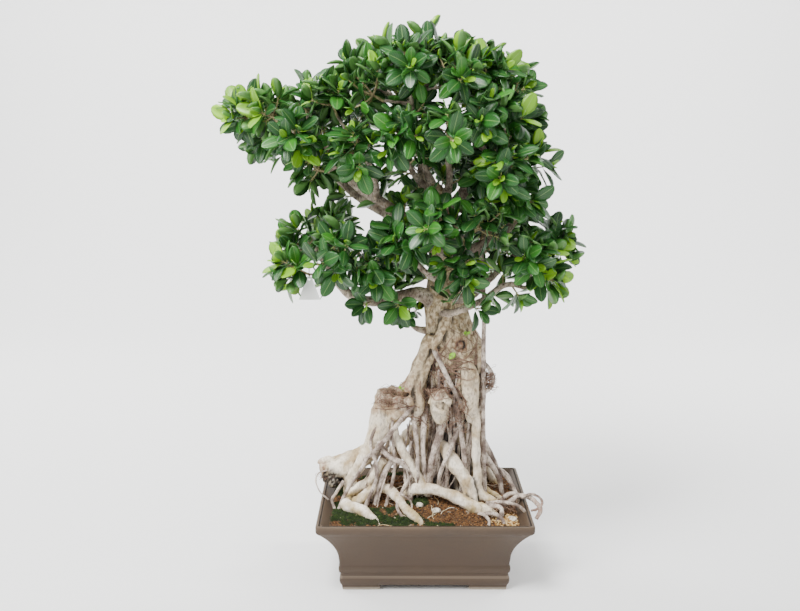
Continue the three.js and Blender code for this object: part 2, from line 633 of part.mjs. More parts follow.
// The shoots of a spray part at a fork in its middle: the first goes straight on from the stem, the others
// start from faces of the fork. Each has its own sideways directions and the turn of its first edge.
function shootsOf(place) {
  const { number, hub, rising, size } = place;
  const [level, upright] = acrossOf(rising);
  const spin = 2 * Math.PI * draw(number, 1);
  const side = level.clone().multiplyScalar(Math.cos(spin)).addScaledVector(upright, Math.sin(spin));
  const other = rising.clone().cross(side);
  const shoots = [];
  for (let k = 0; k < SHOOTS; k += 1) {
    const sideTilt = SIDE_TILT + SIDE_TILT_RANGE * (draw(number, k, 5) - 0.5);
    const tilt = k === 0 ? 0 : THREE.MathUtils.degToRad(sideTilt);
    const turn = ((2 * k - 1) * Math.PI) / 3;
    const heading = rising
      .clone()
      .multiplyScalar(Math.cos(tilt))
      .addScaledVector(side, Math.sin(tilt) * Math.cos(turn))
      .addScaledVector(other, Math.sin(tilt) * Math.sin(turn))
      .normalize();
    let reach = size * (SHOOT_REACH + SHOOT_REACH_RANGE * draw(number, k, 2));
    const fits = (length) => {
      const tip = hub.clone().addScaledVector(heading, length + BUD_LENGTH);
      return inOwnCell(tip, place, 5) && clearance(tip, woodSpans) > 6;
    };
    while (reach > LEAST_REACH && !fits(reach)) {
      reach -= 6;
    }
    const up = k === 0 ? other : rising.clone().addScaledVector(heading, -rising.dot(heading)).normalize();
    const right = k === 0 ? side : up.clone().cross(heading);
    const firstEdge = k === 0 ? 0 : (7 * Math.PI) / 6;
    const line = new THREE.Line3(hub, hub.clone().addScaledVector(heading, reach));
    shoots.push({ k, heading, right, up, firstEdge, reach, line });
  }
  return shoots;
}

// Leaves stand in threes round two nodes of each shoot. One that would meet wood, a shoot, a leaf or another
// spray's room is left out. Each is known by its shoot, node and side. The smallest sprays bear smaller leaves.
const NODES = [
  { along: 1, open: 44, phase: 0, shoots: SHOOTS },
  { along: 0.5, open: 66, phase: Math.PI / 3, shoots: 1 },
];
const LEAF_APART = 12;
const LEAF_OPEN_RANGE = 20;
const PETIOLE_SHARE = 0.35;
const SMALL_SPRAY = 0.6;
const SMALL_LEAF_SHARE = 0.7;
const LEAF_TRIES = [
  [0, 1],
  [14, 1],
  [-14, 0.95],
];

function isClear({ k, points, rib }, place, shoots, placed) {
  const low = rib.start;
  const middle = rib.at(0.5, new THREE.Vector3());
  return (
    points.every((point) => inOwnCell(point, place, 1)) &&
    clearance(low, woodSpans) > LEAF_WIDTH / 3 &&
    clearance(middle, woodSpans) > LEAF_WIDTH / 2 + 2 &&
    clearance(rib.end, woodSpans) > 4 &&
    placed.every((leaf) => between(leaf.rib, rib) > LEAF_APART) &&
    shoots.every((shoot) => shoot.k === k || between(shoot.line, rib) > LEAF_APART)
  );
}

function leavesOf(place, shoots) {
  const { number, hub, size } = place;
  const fullLength = size < SMALL_SPRAY ? SMALL_LEAF_SHARE * LEAF_LENGTH : LEAF_LENGTH;
  const placed = [];
  NODES.forEach(({ along, open, phase, shoots: bearing }, node) => {
    for (const { k, heading, right, up, firstEdge, reach } of shoots.slice(0, bearing)) {
      for (let face = 0; face < 3; face += 1) {
        const length = fullLength * (0.88 + 0.22 * draw(number, k, node, face, 4));
        const turn = firstEdge + phase + ((2 * face + 1) * Math.PI) / 3;
        const base = hub.clone().addScaledVector(heading, reach * along - NODE_HEIGHT / 2);
        const leaf = LEAF_TRIES.map(([wider, shorter]) => {
          const spread = LEAF_OPEN_RANGE * (draw(number, k, node, face, 3) - 0.5);
          const opening = THREE.MathUtils.degToRad(open + wider + spread);
          const out = heading
            .clone()
            .multiplyScalar(Math.cos(opening))
            .addScaledVector(right, Math.sin(opening) * Math.cos(turn))
            .addScaledVector(up, Math.sin(opening) * Math.sin(turn));
          const upper = heading.clone().addScaledVector(UP, 0.3);
          upper.addScaledVector(out, -upper.dot(out)).normalize();
          const points = leafPoints(base, out, upper, shorter * length);
          const rib = new THREE.Line3(base.clone().lerp(points[2], PETIOLE_SHARE), points[2]);
          return { k, node, face, points, rib };
        }).find((choice) => isClear(choice, place, shoots, placed));
        if (leaf) {
          placed.push(leaf);
        }
      }
    }
  });
  return placed;
}

// One spray: three-sided shoots that part at the fork, with leaves raised from the faces of their nodes and
// a pointed bud at the end of each.
function makeSpray(place) {
  const { hub, joint, rising, ending } = place;
  const shoots = shootsOf(place);
  const leaves = leavesOf(place, shoots);
  const positions = [];
  const index = [];
  const corner = (point) => {
    positions.push(...point);
    return positions.length / 3 - 1;
  };
  const at = (index) => new THREE.Vector3().fromArray(positions, 3 * index);
  const ring = ({ right, up, firstEdge }, centre, radius, phase) => {
    const corners = [0, 1, 2].map((count) => {
      const turn = firstEdge + phase + (count * 2 * Math.PI) / 3;
      const point = centre.clone().addScaledVector(right, radius * Math.cos(turn));
      return corner(point.addScaledVector(up, radius * Math.sin(turn)));
    });
    return corners[0];
  };
  const raiseLeaf = (leaf, lowLeft, lowRight, highRight, highLeft) => {
    const [leftLow, leftHigh, tip, rightHigh, rightLow, under] = leaf.points.map(corner);
    index.push(highLeft, leftLow, tip, leftLow, leftHigh, tip, highLeft, tip, highRight);
    index.push(highRight, tip, rightLow, tip, rightHigh, rightLow);
    index.push(lowLeft, lowRight, under, lowRight, rightLow, under, rightLow, rightHigh, under);
    index.push(rightHigh, tip, under, tip, leftHigh, under, leftHigh, leftLow, under);
    index.push(leftLow, lowLeft, under, lowLeft, leftLow, highLeft, lowRight, highRight, rightLow);
  };
  const raiseShoot = (shoot, lowLeft, lowRight, highRight, highLeft) => {
    const foot = ring(shoot, hub.clone().addScaledVector(shoot.heading, FORK_REACH), SHOOT_RADIUS, 0);
    index.push(lowLeft, lowRight, foot + 1, lowLeft, foot + 1, foot);
    index.push(lowRight, highRight, foot + 2, lowRight, foot + 2, foot + 1);
    index.push(highRight, highLeft, foot + 2, highLeft, lowLeft, foot, highLeft, foot, foot + 2);
    finishShoot(shoot, foot);
  };
  const wall = (below, above, leafAt, shootAt) => {
    for (let face = 0; face < 3; face += 1) {
      const next = (face + 1) % 3;
      const corners = [below + face, below + next, above + next, above + face];
      if (leafAt?.(face)) {
        raiseLeaf(leafAt(face), ...corners);
      } else if (shootAt?.(face)) {
        raiseShoot(shootAt(face), ...corners);
      } else {
        const [lowLeft, lowRight, highRight, highLeft] = corners;
        if (at(lowLeft).distanceTo(at(highRight)) < at(lowRight).distanceTo(at(highLeft))) {
          index.push(lowLeft, lowRight, highRight, lowLeft, highRight, highLeft);
        } else {
          index.push(lowLeft, lowRight, highLeft, lowRight, highRight, highLeft);
        }
      }
    }
  };
  const finishShoot = (shoot, foot) => {
    const { k, heading, reach } = shoot;
    let below = foot;
    for (const node of k < NODES[1].shoots ? [1, 0] : [0]) {
      const { along, phase } = NODES[node];
      const low = hub.clone().addScaledVector(heading, reach * along - NODE_HEIGHT);
      const lowRing = ring(shoot, low, SHOOT_RADIUS, phase);
      wall(below, lowRing);
      below = ring(shoot, low.addScaledVector(heading, NODE_HEIGHT), NODE_RADIUS, phase);
      const here = leaves.filter((leaf) => leaf.k === k && leaf.node === node);
      wall(lowRing, below, (face) => here.find((leaf) => leaf.face === face));
    }
    const bud = corner(hub.clone().addScaledVector(heading, reach + BUD_LENGTH));
    index.push(below, below + 1, bud, below + 1, below + 2, bud, below + 2, below, bud);
  };
  const [main] = shoots;
  const flat = (way) => way.clone().addScaledVector(ending, -way.dot(ending));
  const cut = { right: flat(main.right), up: flat(main.up), firstEdge: 0 };
  const start = ring(cut, joint.clone().addScaledVector(ending, GAP), STEM_RADIUS, 0);
  index.push(start, start + 2, start + 1);
  const forkLow = ring(main, hub.clone().addScaledVector(rising, -NODE_HEIGHT), STEM_RADIUS, 0);
  wall(start, forkLow);
  const forkHigh = ring(main, hub, SHOOT_RADIUS, 0);
  wall(forkLow, forkHigh, null, (face) => shoots.find((shoot) => shoot.k === face + 1));
  finishShoot(main, forkHigh);
  return pieceOf(`spray_${place.name}`, positions, index, foliage);
}
function makeWood() {
  let wood = null;
  for (const points of [...ROOT_LIMBS, ...branches, CARD_TWIG]) {
    const grown = solid(limb(points));
    wood = wood ? wood.add(grown) : grown;
  }
  return wood;
}

// The soil fills the pot, open where roots and stones stand in it.
const SOIL_CELLS = [8, 6];
const SOIL_GAP = GAP + 0.1;
const NEAR_SOIL = 6;

function makeSoil(stones) {
  const block = new THREE.BoxGeometry(POT_WIDTH, POT_DEPTH, 100, ...SOIL_CELLS, 1);
  const place = block.attributes.position;
  for (let v = 0; v < place.count; v += 1) {
    const x = place.getX(v);
    const y = place.getY(v);
    const key = [Math.round(x), Math.round(y)];
    const grain = SOIL_GRAIN * (2 * draw(...key, 6) - 1);
    place.setZ(v, place.getZ(v) > 0 ? soilHeight(x, y) + grain : 0);
  }
  const sides = rectangularStack(setbackLevels(SOIL_SIDES), CORNER_RADIUS, CORNER_STEPS);
  let soil = solid(sides).intersect(solid(block));
  for (const points of ROOT_LIMBS) {
    if (points.some(([x, y, z, radius]) => z - radius < soilHeight(x, y) + NEAR_SOIL)) {
      soil = soil.subtract(solid(limb(points, SOIL_GAP)));
    }
  }
  for (const stone of stones) {
    soil = soil.subtract(solid(stone.geometry(SOIL_GAP)));
  }
  const recessSide = NET_SIDE + 2 * GAP;
  for (const side of [-1, 1]) {
    const recess = new THREE.BoxGeometry(recessSide, recessSide, 2 * (NET_THICKNESS + 2 * GAP));
    recess.translate((side * DRAIN_SPACING) / 2, 0, FOOT_HEIGHT + FLOOR_THICKNESS);
    soil = soil.subtract(solid(recess));
  }
  return soil;
}

// Three pale stones, half sunk in the soil: [x, y, size, flatness].
const STONES = [
  [-10, -72, 11, 0.7],
  [28, -92, 13, 0.75],
  [206, -112, 12, 0.6],
];

const stones = STONES.map(([x, y, size, flatness], number) => ({
  name: `stone_${number + 1}`,
  geometry(swell) {
    const stone = new THREE.DodecahedronGeometry(1, 0);
    const place = stone.attributes.position;
    for (let v = 0; v < place.count; v += 1) {
      const keys = [place.getX(v), place.getY(v), place.getZ(v)].map((value) => Math.round(50 * value));
      const bulge = (0.85 + 0.3 * draw(...keys, number)) * size + swell;
      place.setXYZ(
        v,
        x + place.getX(v) * bulge,
        y + place.getY(v) * bulge,
        soilHeight(x, y) + 2 + place.getZ(v) * bulge * flatness,
      );
    }
    return stone;
  },
}));

// The card: a blank sheet, wider at its foot, with a round hole near its top.
function makeCard() {
  const outline = new THREE.Shape();
  outline.moveTo(-CARD_TOP_WIDTH / 2, 0);
  outline.lineTo(-CARD_FOOT_WIDTH / 2, -CARD_HEIGHT);
  outline.lineTo(CARD_FOOT_WIDTH / 2, -CARD_HEIGHT);
  outline.lineTo(CARD_TOP_WIDTH / 2, 0);
  const blank = new THREE.ExtrudeGeometry(outline, { depth: CARD_THICKNESS, bevelEnabled: false });
  blank.translate(0, 0, -CARD_THICKNESS / 2);
  blank.rotateX(Math.PI / 2);
  blank.translate(...CARD_TOP);
  const hole = new THREE.CylinderGeometry(CARD_HOLE, CARD_HOLE, 6, 10);
  hole.translate(CARD_TOP[0], CARD_TOP[1], CARD_TOP[2] - CARD_HOLE_DEPTH);
  return solid(blank).subtract(solid(hole));
}

// The tie: a closed loop of wire, upright in the plane across the twig, through the hole and over the twig.
function makeTie() {
  const [x, y, top] = CARD_TOP;
  const low = top - CARD_HOLE_DEPTH + 0.6;
  const path = [[2.2, low], [4.2, low + 3.6]];
  for (let bend = 0; bend <= 4; bend += 1) {
    const turn = (bend * Math.PI) / 4;
    path.push([TIE_BEND * Math.cos(turn), TIE_TOP + TIE_BEND * Math.sin(turn)]);
  }
  path.push([-4.2, low + 3.6], [-2.2, low]);
  const positions = [];
  const index = [];
  path.forEach(([offset, height], i) => {
    const [before, after] = [path.at(i - 1), path[(i + 1) % path.length]];
    const along = new THREE.Vector2(after[0] - before[0], after[1] - before[1]).normalize();
    positions.push(x + TIE_RADIUS, y + offset, height);
    positions.push(x, y + offset + TIE_RADIUS * along.y, height - TIE_RADIUS * along.x);
    positions.push(x - TIE_RADIUS, y + offset, height);
    positions.push(x, y + offset - TIE_RADIUS * along.y, height + TIE_RADIUS * along.x);
    for (let side = 0; side < 4; side += 1) {
      const [here, beside] = [4 * i + side, 4 * i + ((side + 1) % 4)];
      const [there, across] = [here, beside].map((corner) => (corner + 4) % (4 * path.length));
      index.push(here, beside, across, here, across, there);
    }
  });
  const geometry = new THREE.BufferGeometry();
  geometry.setAttribute("position", new THREE.Float32BufferAttribute(positions, 3));
  geometry.setIndex(index);
  return solid(geometry);
}

const part = new THREE.Group();
part.add(piece("pot", makePot(), ceramic));
part.add(piece("drain_net_left", makeNetting(-1), netting));
part.add(piece("drain_net_right", makeNetting(1), netting));
part.add(piece("soil", makeSoil(stones), earth));
part.add(piece("trunk_and_roots", makeWood(), bark));
for (const stone of stones) {
  part.add(piece(stone.name, solid(stone.geometry(0)), pebble));
}
for (const place of sprayPlaces) {
  part.add(makeSpray(place));
}
part.add(piece("blank_card", makeCard(), whiteCard));
part.add(piece("card_tie", makeTie(), wireMetal));

// The frame's origin is on the ground, under the middle of the whole.
const whole = new THREE.Box3().setFromObject(part);
const middle = whole.getCenter(new THREE.Vector3());
for (const mesh of part.children) {
  mesh.geometry.translate(-middle.x, -middle.y, 0);
}

export default part;
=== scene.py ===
"""The looks of a ficus bonsai in a ceramic pot, built round its CAD frame.

Metres, +Z up, front towards -Y. The tables of limbs give millimetres from the middle of the pot.
"""

import math
import random
from collections import namedtuple

import bpy
import numpy as np
from mathutils import Matrix, Vector, noise


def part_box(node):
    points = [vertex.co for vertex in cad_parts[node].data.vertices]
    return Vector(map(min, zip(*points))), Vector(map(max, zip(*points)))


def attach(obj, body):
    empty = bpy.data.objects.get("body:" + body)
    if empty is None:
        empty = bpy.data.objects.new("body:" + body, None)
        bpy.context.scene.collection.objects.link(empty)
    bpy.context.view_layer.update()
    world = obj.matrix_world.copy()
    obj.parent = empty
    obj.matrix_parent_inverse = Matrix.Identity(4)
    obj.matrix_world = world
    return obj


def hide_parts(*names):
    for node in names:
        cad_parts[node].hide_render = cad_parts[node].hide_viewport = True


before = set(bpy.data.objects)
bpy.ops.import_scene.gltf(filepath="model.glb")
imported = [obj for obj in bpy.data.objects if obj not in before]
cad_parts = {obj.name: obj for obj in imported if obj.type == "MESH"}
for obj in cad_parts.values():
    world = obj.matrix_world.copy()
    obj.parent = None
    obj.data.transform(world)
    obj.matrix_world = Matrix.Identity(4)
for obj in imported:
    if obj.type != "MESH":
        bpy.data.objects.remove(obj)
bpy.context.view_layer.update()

# The view
# The tree stands on a pale studio floor that rises behind it as one sweep. Broad soft lights hang above and
# on both sides, and the camera looks down by eleven degrees from a little over two metres away.
MM = 0.001
pot_low, pot_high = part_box("pot")
POT_MIDDLE = (pot_low + pot_high) / 2
CAMERA_PLACE = (-57.5, -2223.4, 1088.5)
CAMERA_DROP = math.radians(11.0)
PICTURE_WIDTH = 800
FOCAL_PIXELS = 957.3
SENSOR_WIDTH = 36.0
FURTHEST_SEEN = 30
FLOOR_REACH = 7.0
SWEEP_START = 4.2
SWEEP_RADIUS = 1.6
WALL_HEIGHT = 5.0
NEAR = 0.01


def spot(x, y, z):
    """A place measured in millimetres from the middle of the pot, as metres in the frame."""
    return Vector((POT_MIDDLE.x + x * MM, POT_MIDDLE.y + y * MM, z * MM))


def linear(code):
    """A colour of the screen, such as "#70604F", as the light that a shader works with."""
    values = [int(code[i : i + 2], 16) / 255 for i in (1, 3, 5)]
    return [v / 12.92 if v <= 0.04045 else ((v + 0.055) / 1.055) ** 2.4 for v in values] + [1.0]


def new_material(name):
    material = bpy.data.materials.new(name)
    material.use_nodes = True
    return material


def plug(material, socket, value):
    """Gives a socket another node's output, a colour code or a plain value."""
    if isinstance(value, bpy.types.NodeSocket):
        material.node_tree.links.new(value, socket)
    else:
        socket.default_value = linear(value) if isinstance(value, str) else value


def add(material, kind, sockets, **settings):
    """Adds a node with its settings, and fills its sockets, which are given by name or number."""
    node = material.node_tree.nodes.new(kind)
    for key, value in settings.items():
        setattr(node, key, value)
    for key, value in sockets.items():
        plug(material, node.inputs[key], value)
    return node


def own_place(material):
    """The place of each point in the object's own metres."""
    return add(material, "ShaderNodeTexCoord", {}).outputs["Object"]


def mottle(material, scale, detail=2.0, stretch=(1.0, 1.0, 1.0)):
    """A soft noise from 0 to 1 that is fixed to the object."""
    place = own_place(material)
    if stretch != (1.0, 1.0, 1.0):
        place = add(material, "ShaderNodeMapping", {"Vector": place, "Scale": stretch}).outputs["Vector"]
    texture = add(material, "ShaderNodeTexNoise", {"Vector": place, "Scale": scale, "Detail": detail})
    return texture.outputs["Fac"]


def relief(material, height, strength, distance, **settings):
    """A fine relief for the eye alone, its distance in millimetres."""
    sockets = {"Height": height, "Strength": strength, "Distance": distance * MM}
    return add(material, "ShaderNodeBump", sockets, **settings).outputs["Normal"]


def finish(material, colour, roughness, normal=None, more=None):
    """Feeds the material's shader."""
    shader = material.node_tree.nodes["Principled BSDF"]
    sockets = {"Base Color": colour, "Roughness": roughness, **(more or {})}
    if normal:
        sockets["Normal"] = normal
    for name, value in sockets.items():
        plug(material, shader.inputs[name], value)


def leave_edit():
    bpy.ops.object.mode_set(mode="OBJECT")


def select_edges(piece, wanted):
    """Edits a piece with only those edges selected whose two corners pass a test."""
    bpy.ops.object.mode_set(mode="EDIT")
    bpy.ops.mesh.select_mode(type="EDGE")
    bpy.ops.mesh.select_all(action="DESELECT")
    leave_edit()
    for edge in piece.data.edges:
        edge.select = all(wanted(piece.data.vertices[v].co) for v in edge.vertices)
    bpy.ops.object.mode_set(mode="EDIT")


bpy.ops.mesh.primitive_plane_add(size=2 * FLOOR_REACH, location=(0, SWEEP_START - FLOOR_REACH, 0))
floor = bpy.context.object
floor.name = "studio_floor"
bpy.ops.object.transform_apply(location=True)
select_edges(floor, lambda place: place.y > SWEEP_START - NEAR)
bpy.ops.mesh.extrude_region_move(TRANSFORM_OT_translate={"value": (0, 0, WALL_HEIGHT)})
select_edges(floor, lambda place: place.y > SWEEP_START - NEAR and place.z < NEAR)
bpy.ops.mesh.bevel(offset=SWEEP_RADIUS, segments=24)
leave_edit()
bpy.ops.object.shade_smooth_by_angle(angle=math.radians(20))

# White studio paper: the faint grain breaks up the shine, so the eye reads paper and not plastic.
paper_floor = new_material("studio paper")
finish(paper_floor, "#FAFAF9", 0.85, relief(paper_floor, mottle(paper_floor, 260.0), 0.03, 1))
floor.data.materials.append(paper_floor)

sky = bpy.data.worlds.new("studio air")
sky.use_nodes = True
air = sky.node_tree.nodes["Background"]
air.inputs["Color"].default_value = linear("#FDFEFF")
air.inputs["Strength"].default_value = 0.9
bpy.context.scene.world = sky

# Each lamp as name, place, the place it is aimed at, size and power. The last two light only the backdrop.
LAMPS = [
    ("lamp_above", (-0.9, -1.3, 3.1), (0, 0, 0.6), 1.2, 150.0),
    ("lamp_left", (-2.4, -1.9, 1.9), (0, 0, 0.6), 0.9, 48.0),
    ("lamp_right", (2.4, -1.2, 1.4), (0, 0, 0.6), 1.6, 8.0),
    ("lamp_backdrop_left", (-2.2, 1.3, 2.6), (-1.2, 3.9, 0.6), 1.4, 130.0),
    ("lamp_backdrop_right", (2.2, 1.3, 2.6), (1.2, 3.9, 0.6), 1.4, 130.0),
]
for name, position, aim, size, power in LAMPS:
    bpy.ops.object.light_add(type="AREA", location=position)
    lamp = bpy.context.object
    lamp.name = name
    lamp.data.shape = "DISK"
    lamp.data.size = size
    lamp.data.energy = power
    lamp.rotation_euler = (Vector(aim) - Vector(position)).to_track_quat("-Z", "Y").to_euler()

bpy.ops.object.camera_add(location=spot(*CAMERA_PLACE), rotation=(math.pi / 2 - CAMERA_DROP, 0, 0))
camera = bpy.context.object
camera.data.sensor_width = SENSOR_WIDTH
camera.data.lens = SENSOR_WIDTH * FOCAL_PIXELS / PICTURE_WIDTH
camera.data.clip_end = FURTHEST_SEEN
bpy.context.scene.camera = camera

# The pot
# A rectangular pot of unglazed brown stoneware, pressed in a mould: a hollow cove under an upright lip, two
# beads at the base, four corner feet, a fine groove in the rim, and an inner slope down to the soil.
POT_WIDTH = 500
POT_DEPTH = 385
POT_HEIGHT = 181
FOOT_HEIGHT = 13
FOOT_LENGTH = 92
FOOT_BREADTH = 44
FOOT_SETBACK = 55
FOOT_OVERLAP = 3
BASE_SETBACK = 54
CORNER_ROUNDING = 6
COVE_TOP, COVE_BOTTOM = 158, 80
COVE_OUT, COVE_IN = 7, 49
COVE_BEND = 1.72
COVE_STEPS = 12
DRAIN_SPACING = 190
DRAIN_RADIUS = 14
# Rings of the wall from the base up, over the rim and down inside: [height, setback from the lip's outside].
BASE_LEVELS = [(18, 51.5), (24, 50.2), (31, 50.5), (37, 53), (43, 53), (47, 49.5), (53, 48.4), (58, 48.5),
               (63, 51)]
LIP_LEVELS = [(161, 3.2), (164.5, 0.8), (168, 0), (178.6, 0), (180.4, 0.7), (POT_HEIGHT, 2.2)]
RIM_LEVELS = [(POT_HEIGHT, 6.4), (178.6, 7.0), (178.6, 9.6), (POT_HEIGHT, 10.2), (180.6, 11.2), (178.6, 13.0)]
INSIDE_LEVELS = [(162, 30), (150, 42), (125, 62), (25, 66)]
# The rim's groove, which is coloured darker: its heights in metres and its setbacks.
GROOVE_LOW, GROOVE_HIGH = 178 * MM, 180.7 * MM
GROOVE_NEAR, GROOVE_FAR = 6, 10.4
cove = []
for step in range(COVE_STEPS + 1):
    share = step / COVE_STEPS
    drawn_in = COVE_OUT + (COVE_IN - COVE_OUT) * (1 - share**COVE_BEND)
    cove.append((COVE_BOTTOM + (COVE_TOP - COVE_BOTTOM) * share, drawn_in))


def painted(material, name):
    """A value that was written on the mesh's corners."""
    return add(material, "ShaderNodeAttribute", {}, attribute_name=name).outputs["Fac"]


def ranged(material, value, low=0.0, high=1.0, least=0.0, most=1.0):
    """A value from low to high, taken to one from least to most and held there."""
    sockets = {"Value": value, "From Min": low, "From Max": high, "To Min": least, "To Max": most}
    return add(material, "ShaderNodeMapRange", sockets).outputs["Result"]


def worked(material, operation, *values):
    return add(material, "ShaderNodeMath", dict(enumerate(values)), operation=operation).outputs["Value"]


def layered(material, tone, *layers):
    """A tone with others laid over it in turn, each given as its share and its colour."""
    for share, colour in layers:
        tone = add(material, "ShaderNodeMix", {0: share, 6: tone, 7: colour}, data_type="RGBA").outputs[2]
    return tone


def only(*pieces):
    """Selects these objects alone, the last one active."""
    bpy.ops.object.select_all(action="DESELECT")
    for piece in pieces:
        piece.select_set(True)
        bpy.context.view_layer.objects.active = piece


def edit():
    """Edits the active object, with all of it selected."""
    bpy.ops.object.mode_set(mode="EDIT")
    bpy.ops.mesh.select_all(action="SELECT")


def write_attribute(mesh, name, values):
    layer = mesh.attributes.new(name, "FLOAT", "POINT")
    layer.data.foreach_set("value", np.asarray(values, dtype=np.float32))


def faded(value, start, end):
    """0 at start, 1 at end, and smooth between them."""
    share = min(1.0, max(0.0, (value - start) / (end - start)))
    return share * share * (3 - 2 * share)


def apply_modifier(piece, kind, **settings):
    only(piece)
    modifier = piece.modifiers.new(kind.title(), kind)
    for key, value in settings.items():
        setattr(modifier, key, value)
    bpy.ops.object.modifier_apply(modifier=modifier.name)


bpy.ops.mesh.primitive_plane_add(size=1, location=spot(0, 0, FOOT_HEIGHT))
pot = bpy.context.object
pot.name = "stoneware_pot"
width, depth = POT_WIDTH - 2 * BASE_SETBACK, POT_DEPTH - 2 * BASE_SETBACK
pot.scale = (width * MM, depth * MM, 1)
bpy.ops.object.transform_apply(location=True, scale=True)
edit()
bpy.ops.mesh.bevel(offset=CORNER_ROUNDING * MM, segments=5, affect="VERTICES")
level = FOOT_HEIGHT
for height, setback in BASE_LEVELS + cove + LIP_LEVELS + RIM_LEVELS + INSIDE_LEVELS:
    new_width, new_depth = POT_WIDTH - 2 * setback, POT_DEPTH - 2 * setback
    bpy.ops.mesh.extrude_region_move(TRANSFORM_OT_translate={"value": (0, 0, (height - level) * MM)})
    stretch = (new_width / width, new_depth / depth, 1)
    bpy.ops.transform.resize(value=stretch, center_override=spot(0, 0, height))
    width, depth, level = new_width, new_depth, height
bpy.ops.mesh.select_all(action="SELECT")
bpy.ops.mesh.normals_make_consistent(inside=False)
leave_edit()

for side in (-1, 1):
    hole = spot(side * DRAIN_SPACING / 2, 0, 20)
    bpy.ops.mesh.primitive_cylinder_add(vertices=40, radius=DRAIN_RADIUS * MM, depth=60 * MM, location=hole)
    drill = bpy.context.object
    apply_modifier(pot, "BOOLEAN", operation="DIFFERENCE", object=drill)
    bpy.data.objects.remove(drill)

bpy.ops.mesh.primitive_cube_add(size=1)
foot = bpy.context.object
foot.scale = (FOOT_LENGTH * MM, FOOT_BREADTH * MM, (FOOT_HEIGHT + FOOT_OVERLAP) * MM)
bpy.ops.object.transform_apply(scale=True)
for element in (*foot.data.vertices, *foot.data.edges):
    element.select = False
for face in foot.data.polygons:
    face.select = face.normal.z < -0.5
    for corner in face.vertices if face.select else ():
        foot.data.vertices[corner].select = True
bpy.ops.object.mode_set(mode="EDIT")
bpy.ops.transform.resize(value=(0.955, 0.92, 1))
bpy.ops.mesh.inset(thickness=2.5 * MM)
bpy.ops.transform.translate(value=(0, 0, -0.6 * MM))
leave_edit()
apply_modifier(foot, "BEVEL", width=1.6 * MM, segments=3, limit_method="ANGLE")
foot.location.z = -foot.bound_box[0][2]
bpy.ops.object.transform_apply(location=True)
feet = [foot]
for _ in range(3):
    only(foot)
    bpy.ops.object.duplicate()
    feet.append(bpy.context.object)
out_x = POT_WIDTH / 2 - FOOT_SETBACK - FOOT_LENGTH / 2
out_y = POT_DEPTH / 2 - FOOT_SETBACK - FOOT_BREADTH / 2
for foot, (side_x, side_y) in zip(feet, ((-1, -1), (-1, 1), (1, -1), (1, 1))):
    foot.location = spot(side_x * out_x, side_y * out_y, 0)
apply_modifier(pot, "BEVEL", width=0.5 * MM, segments=2, limit_method="ANGLE", angle_limit=math.radians(22))
only(*feet, pot)
bpy.ops.object.transform_apply(location=True)
bpy.ops.object.join()
bpy.ops.object.shade_smooth_by_angle(angle=math.radians(32))
# Painted highlight on whatever faces up below the cove: the beads and the feet.
upward_highlight = []
for corner in pot.data.vertices:
    upward_highlight.append(faded(corner.normal.z, 0.1, 0.6) * (1 - faded(corner.co.z, 0.05, 0.06)))
write_attribute(pot.data, "upward_highlight", upward_highlight)

# Unglazed stoneware: a dull clay brown with cloudy patches from the kiln, fine pits that catch the light,
# and a paler, drier edge where hands and shelves have rubbed the lip and the feet. A painted highlight
# lies on the upward faces of the beads and feet.
stoneware = new_material("unglazed brown stoneware")
clouds = mottle(stoneware, 9.0, 4.0)
specks = mottle(stoneware, 420.0)
height = add(stoneware, "ShaderNodeSeparateXYZ", {"Vector": own_place(stoneware)}).outputs["Z"]
lip_wear = worked(stoneware, "MULTIPLY", ranged(stoneware, height, 0.172, 0.181, most=0.55), clouds)
# The paler tone read from the mesh's attribute is a painted highlight on the upward faces of the beads and
# feet.
clay = layered(
    stoneware, "#392A1C", (clouds, "#4B3A2A"), (ranged(stoneware, specks, 0.58, 0.74, most=0.35), "#30261B"),
    (lip_wear, "#6E5C48"), (ranged(stoneware, painted(stoneware, "upward_highlight"), most=0.6), "#8F7E6C"),
    (ranged(stoneware, height, 0.009, 0.001, most=0.8), "#B5AA98"),
)
dullness = ranged(stoneware, clouds, least=0.5, most=0.72)
finish(stoneware, clay, dullness, relief(stoneware, specks, 0.25, 0.4))
pot.data.materials.append(stoneware)

# The rim's groove: the same clay, much darker, with a faint mottle.
dark_groove_clay = new_material("dark stoneware groove")
finish(dark_groove_clay, layered(dark_groove_clay, "#1F1811", (mottle(dark_groove_clay, 90.0, 3.0), "#3A2E21")), 0.85)
pot.data.materials.append(dark_groove_clay)
for face in pot.data.polygons:
    away = (face.center - POT_MIDDLE) / MM
    setback = min(POT_WIDTH / 2 - abs(away.x), POT_DEPTH / 2 - abs(away.y))
    if GROOVE_LOW < face.center.z < GROOVE_HIGH and GROOVE_NEAR < setback < GROOVE_FAR:
        face.material_index = 1
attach(pot, "root")
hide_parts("pot")

# The drain nets
# A square of black plastic netting lies over each drain hole and keeps the soil in. Its crossing strips were
# moulded in one piece, so they keep the CAD's shape and only get their finish here.

# Black plastic, dull and a little dusty.
net_plastic = new_material("black netting plastic")
dust = mottle(net_plastic, 120.0)
dusty = layered(net_plastic, "#191A18", (dust, "#3A352C"))
finish(net_plastic, dusty, 0.6, relief(net_plastic, dust, 0.2, 0.3))
for name in ("drain_net_left", "drain_net_right"):
    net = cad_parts[name]
    net.data.materials.clear()
    net.data.materials.append(net_plastic)

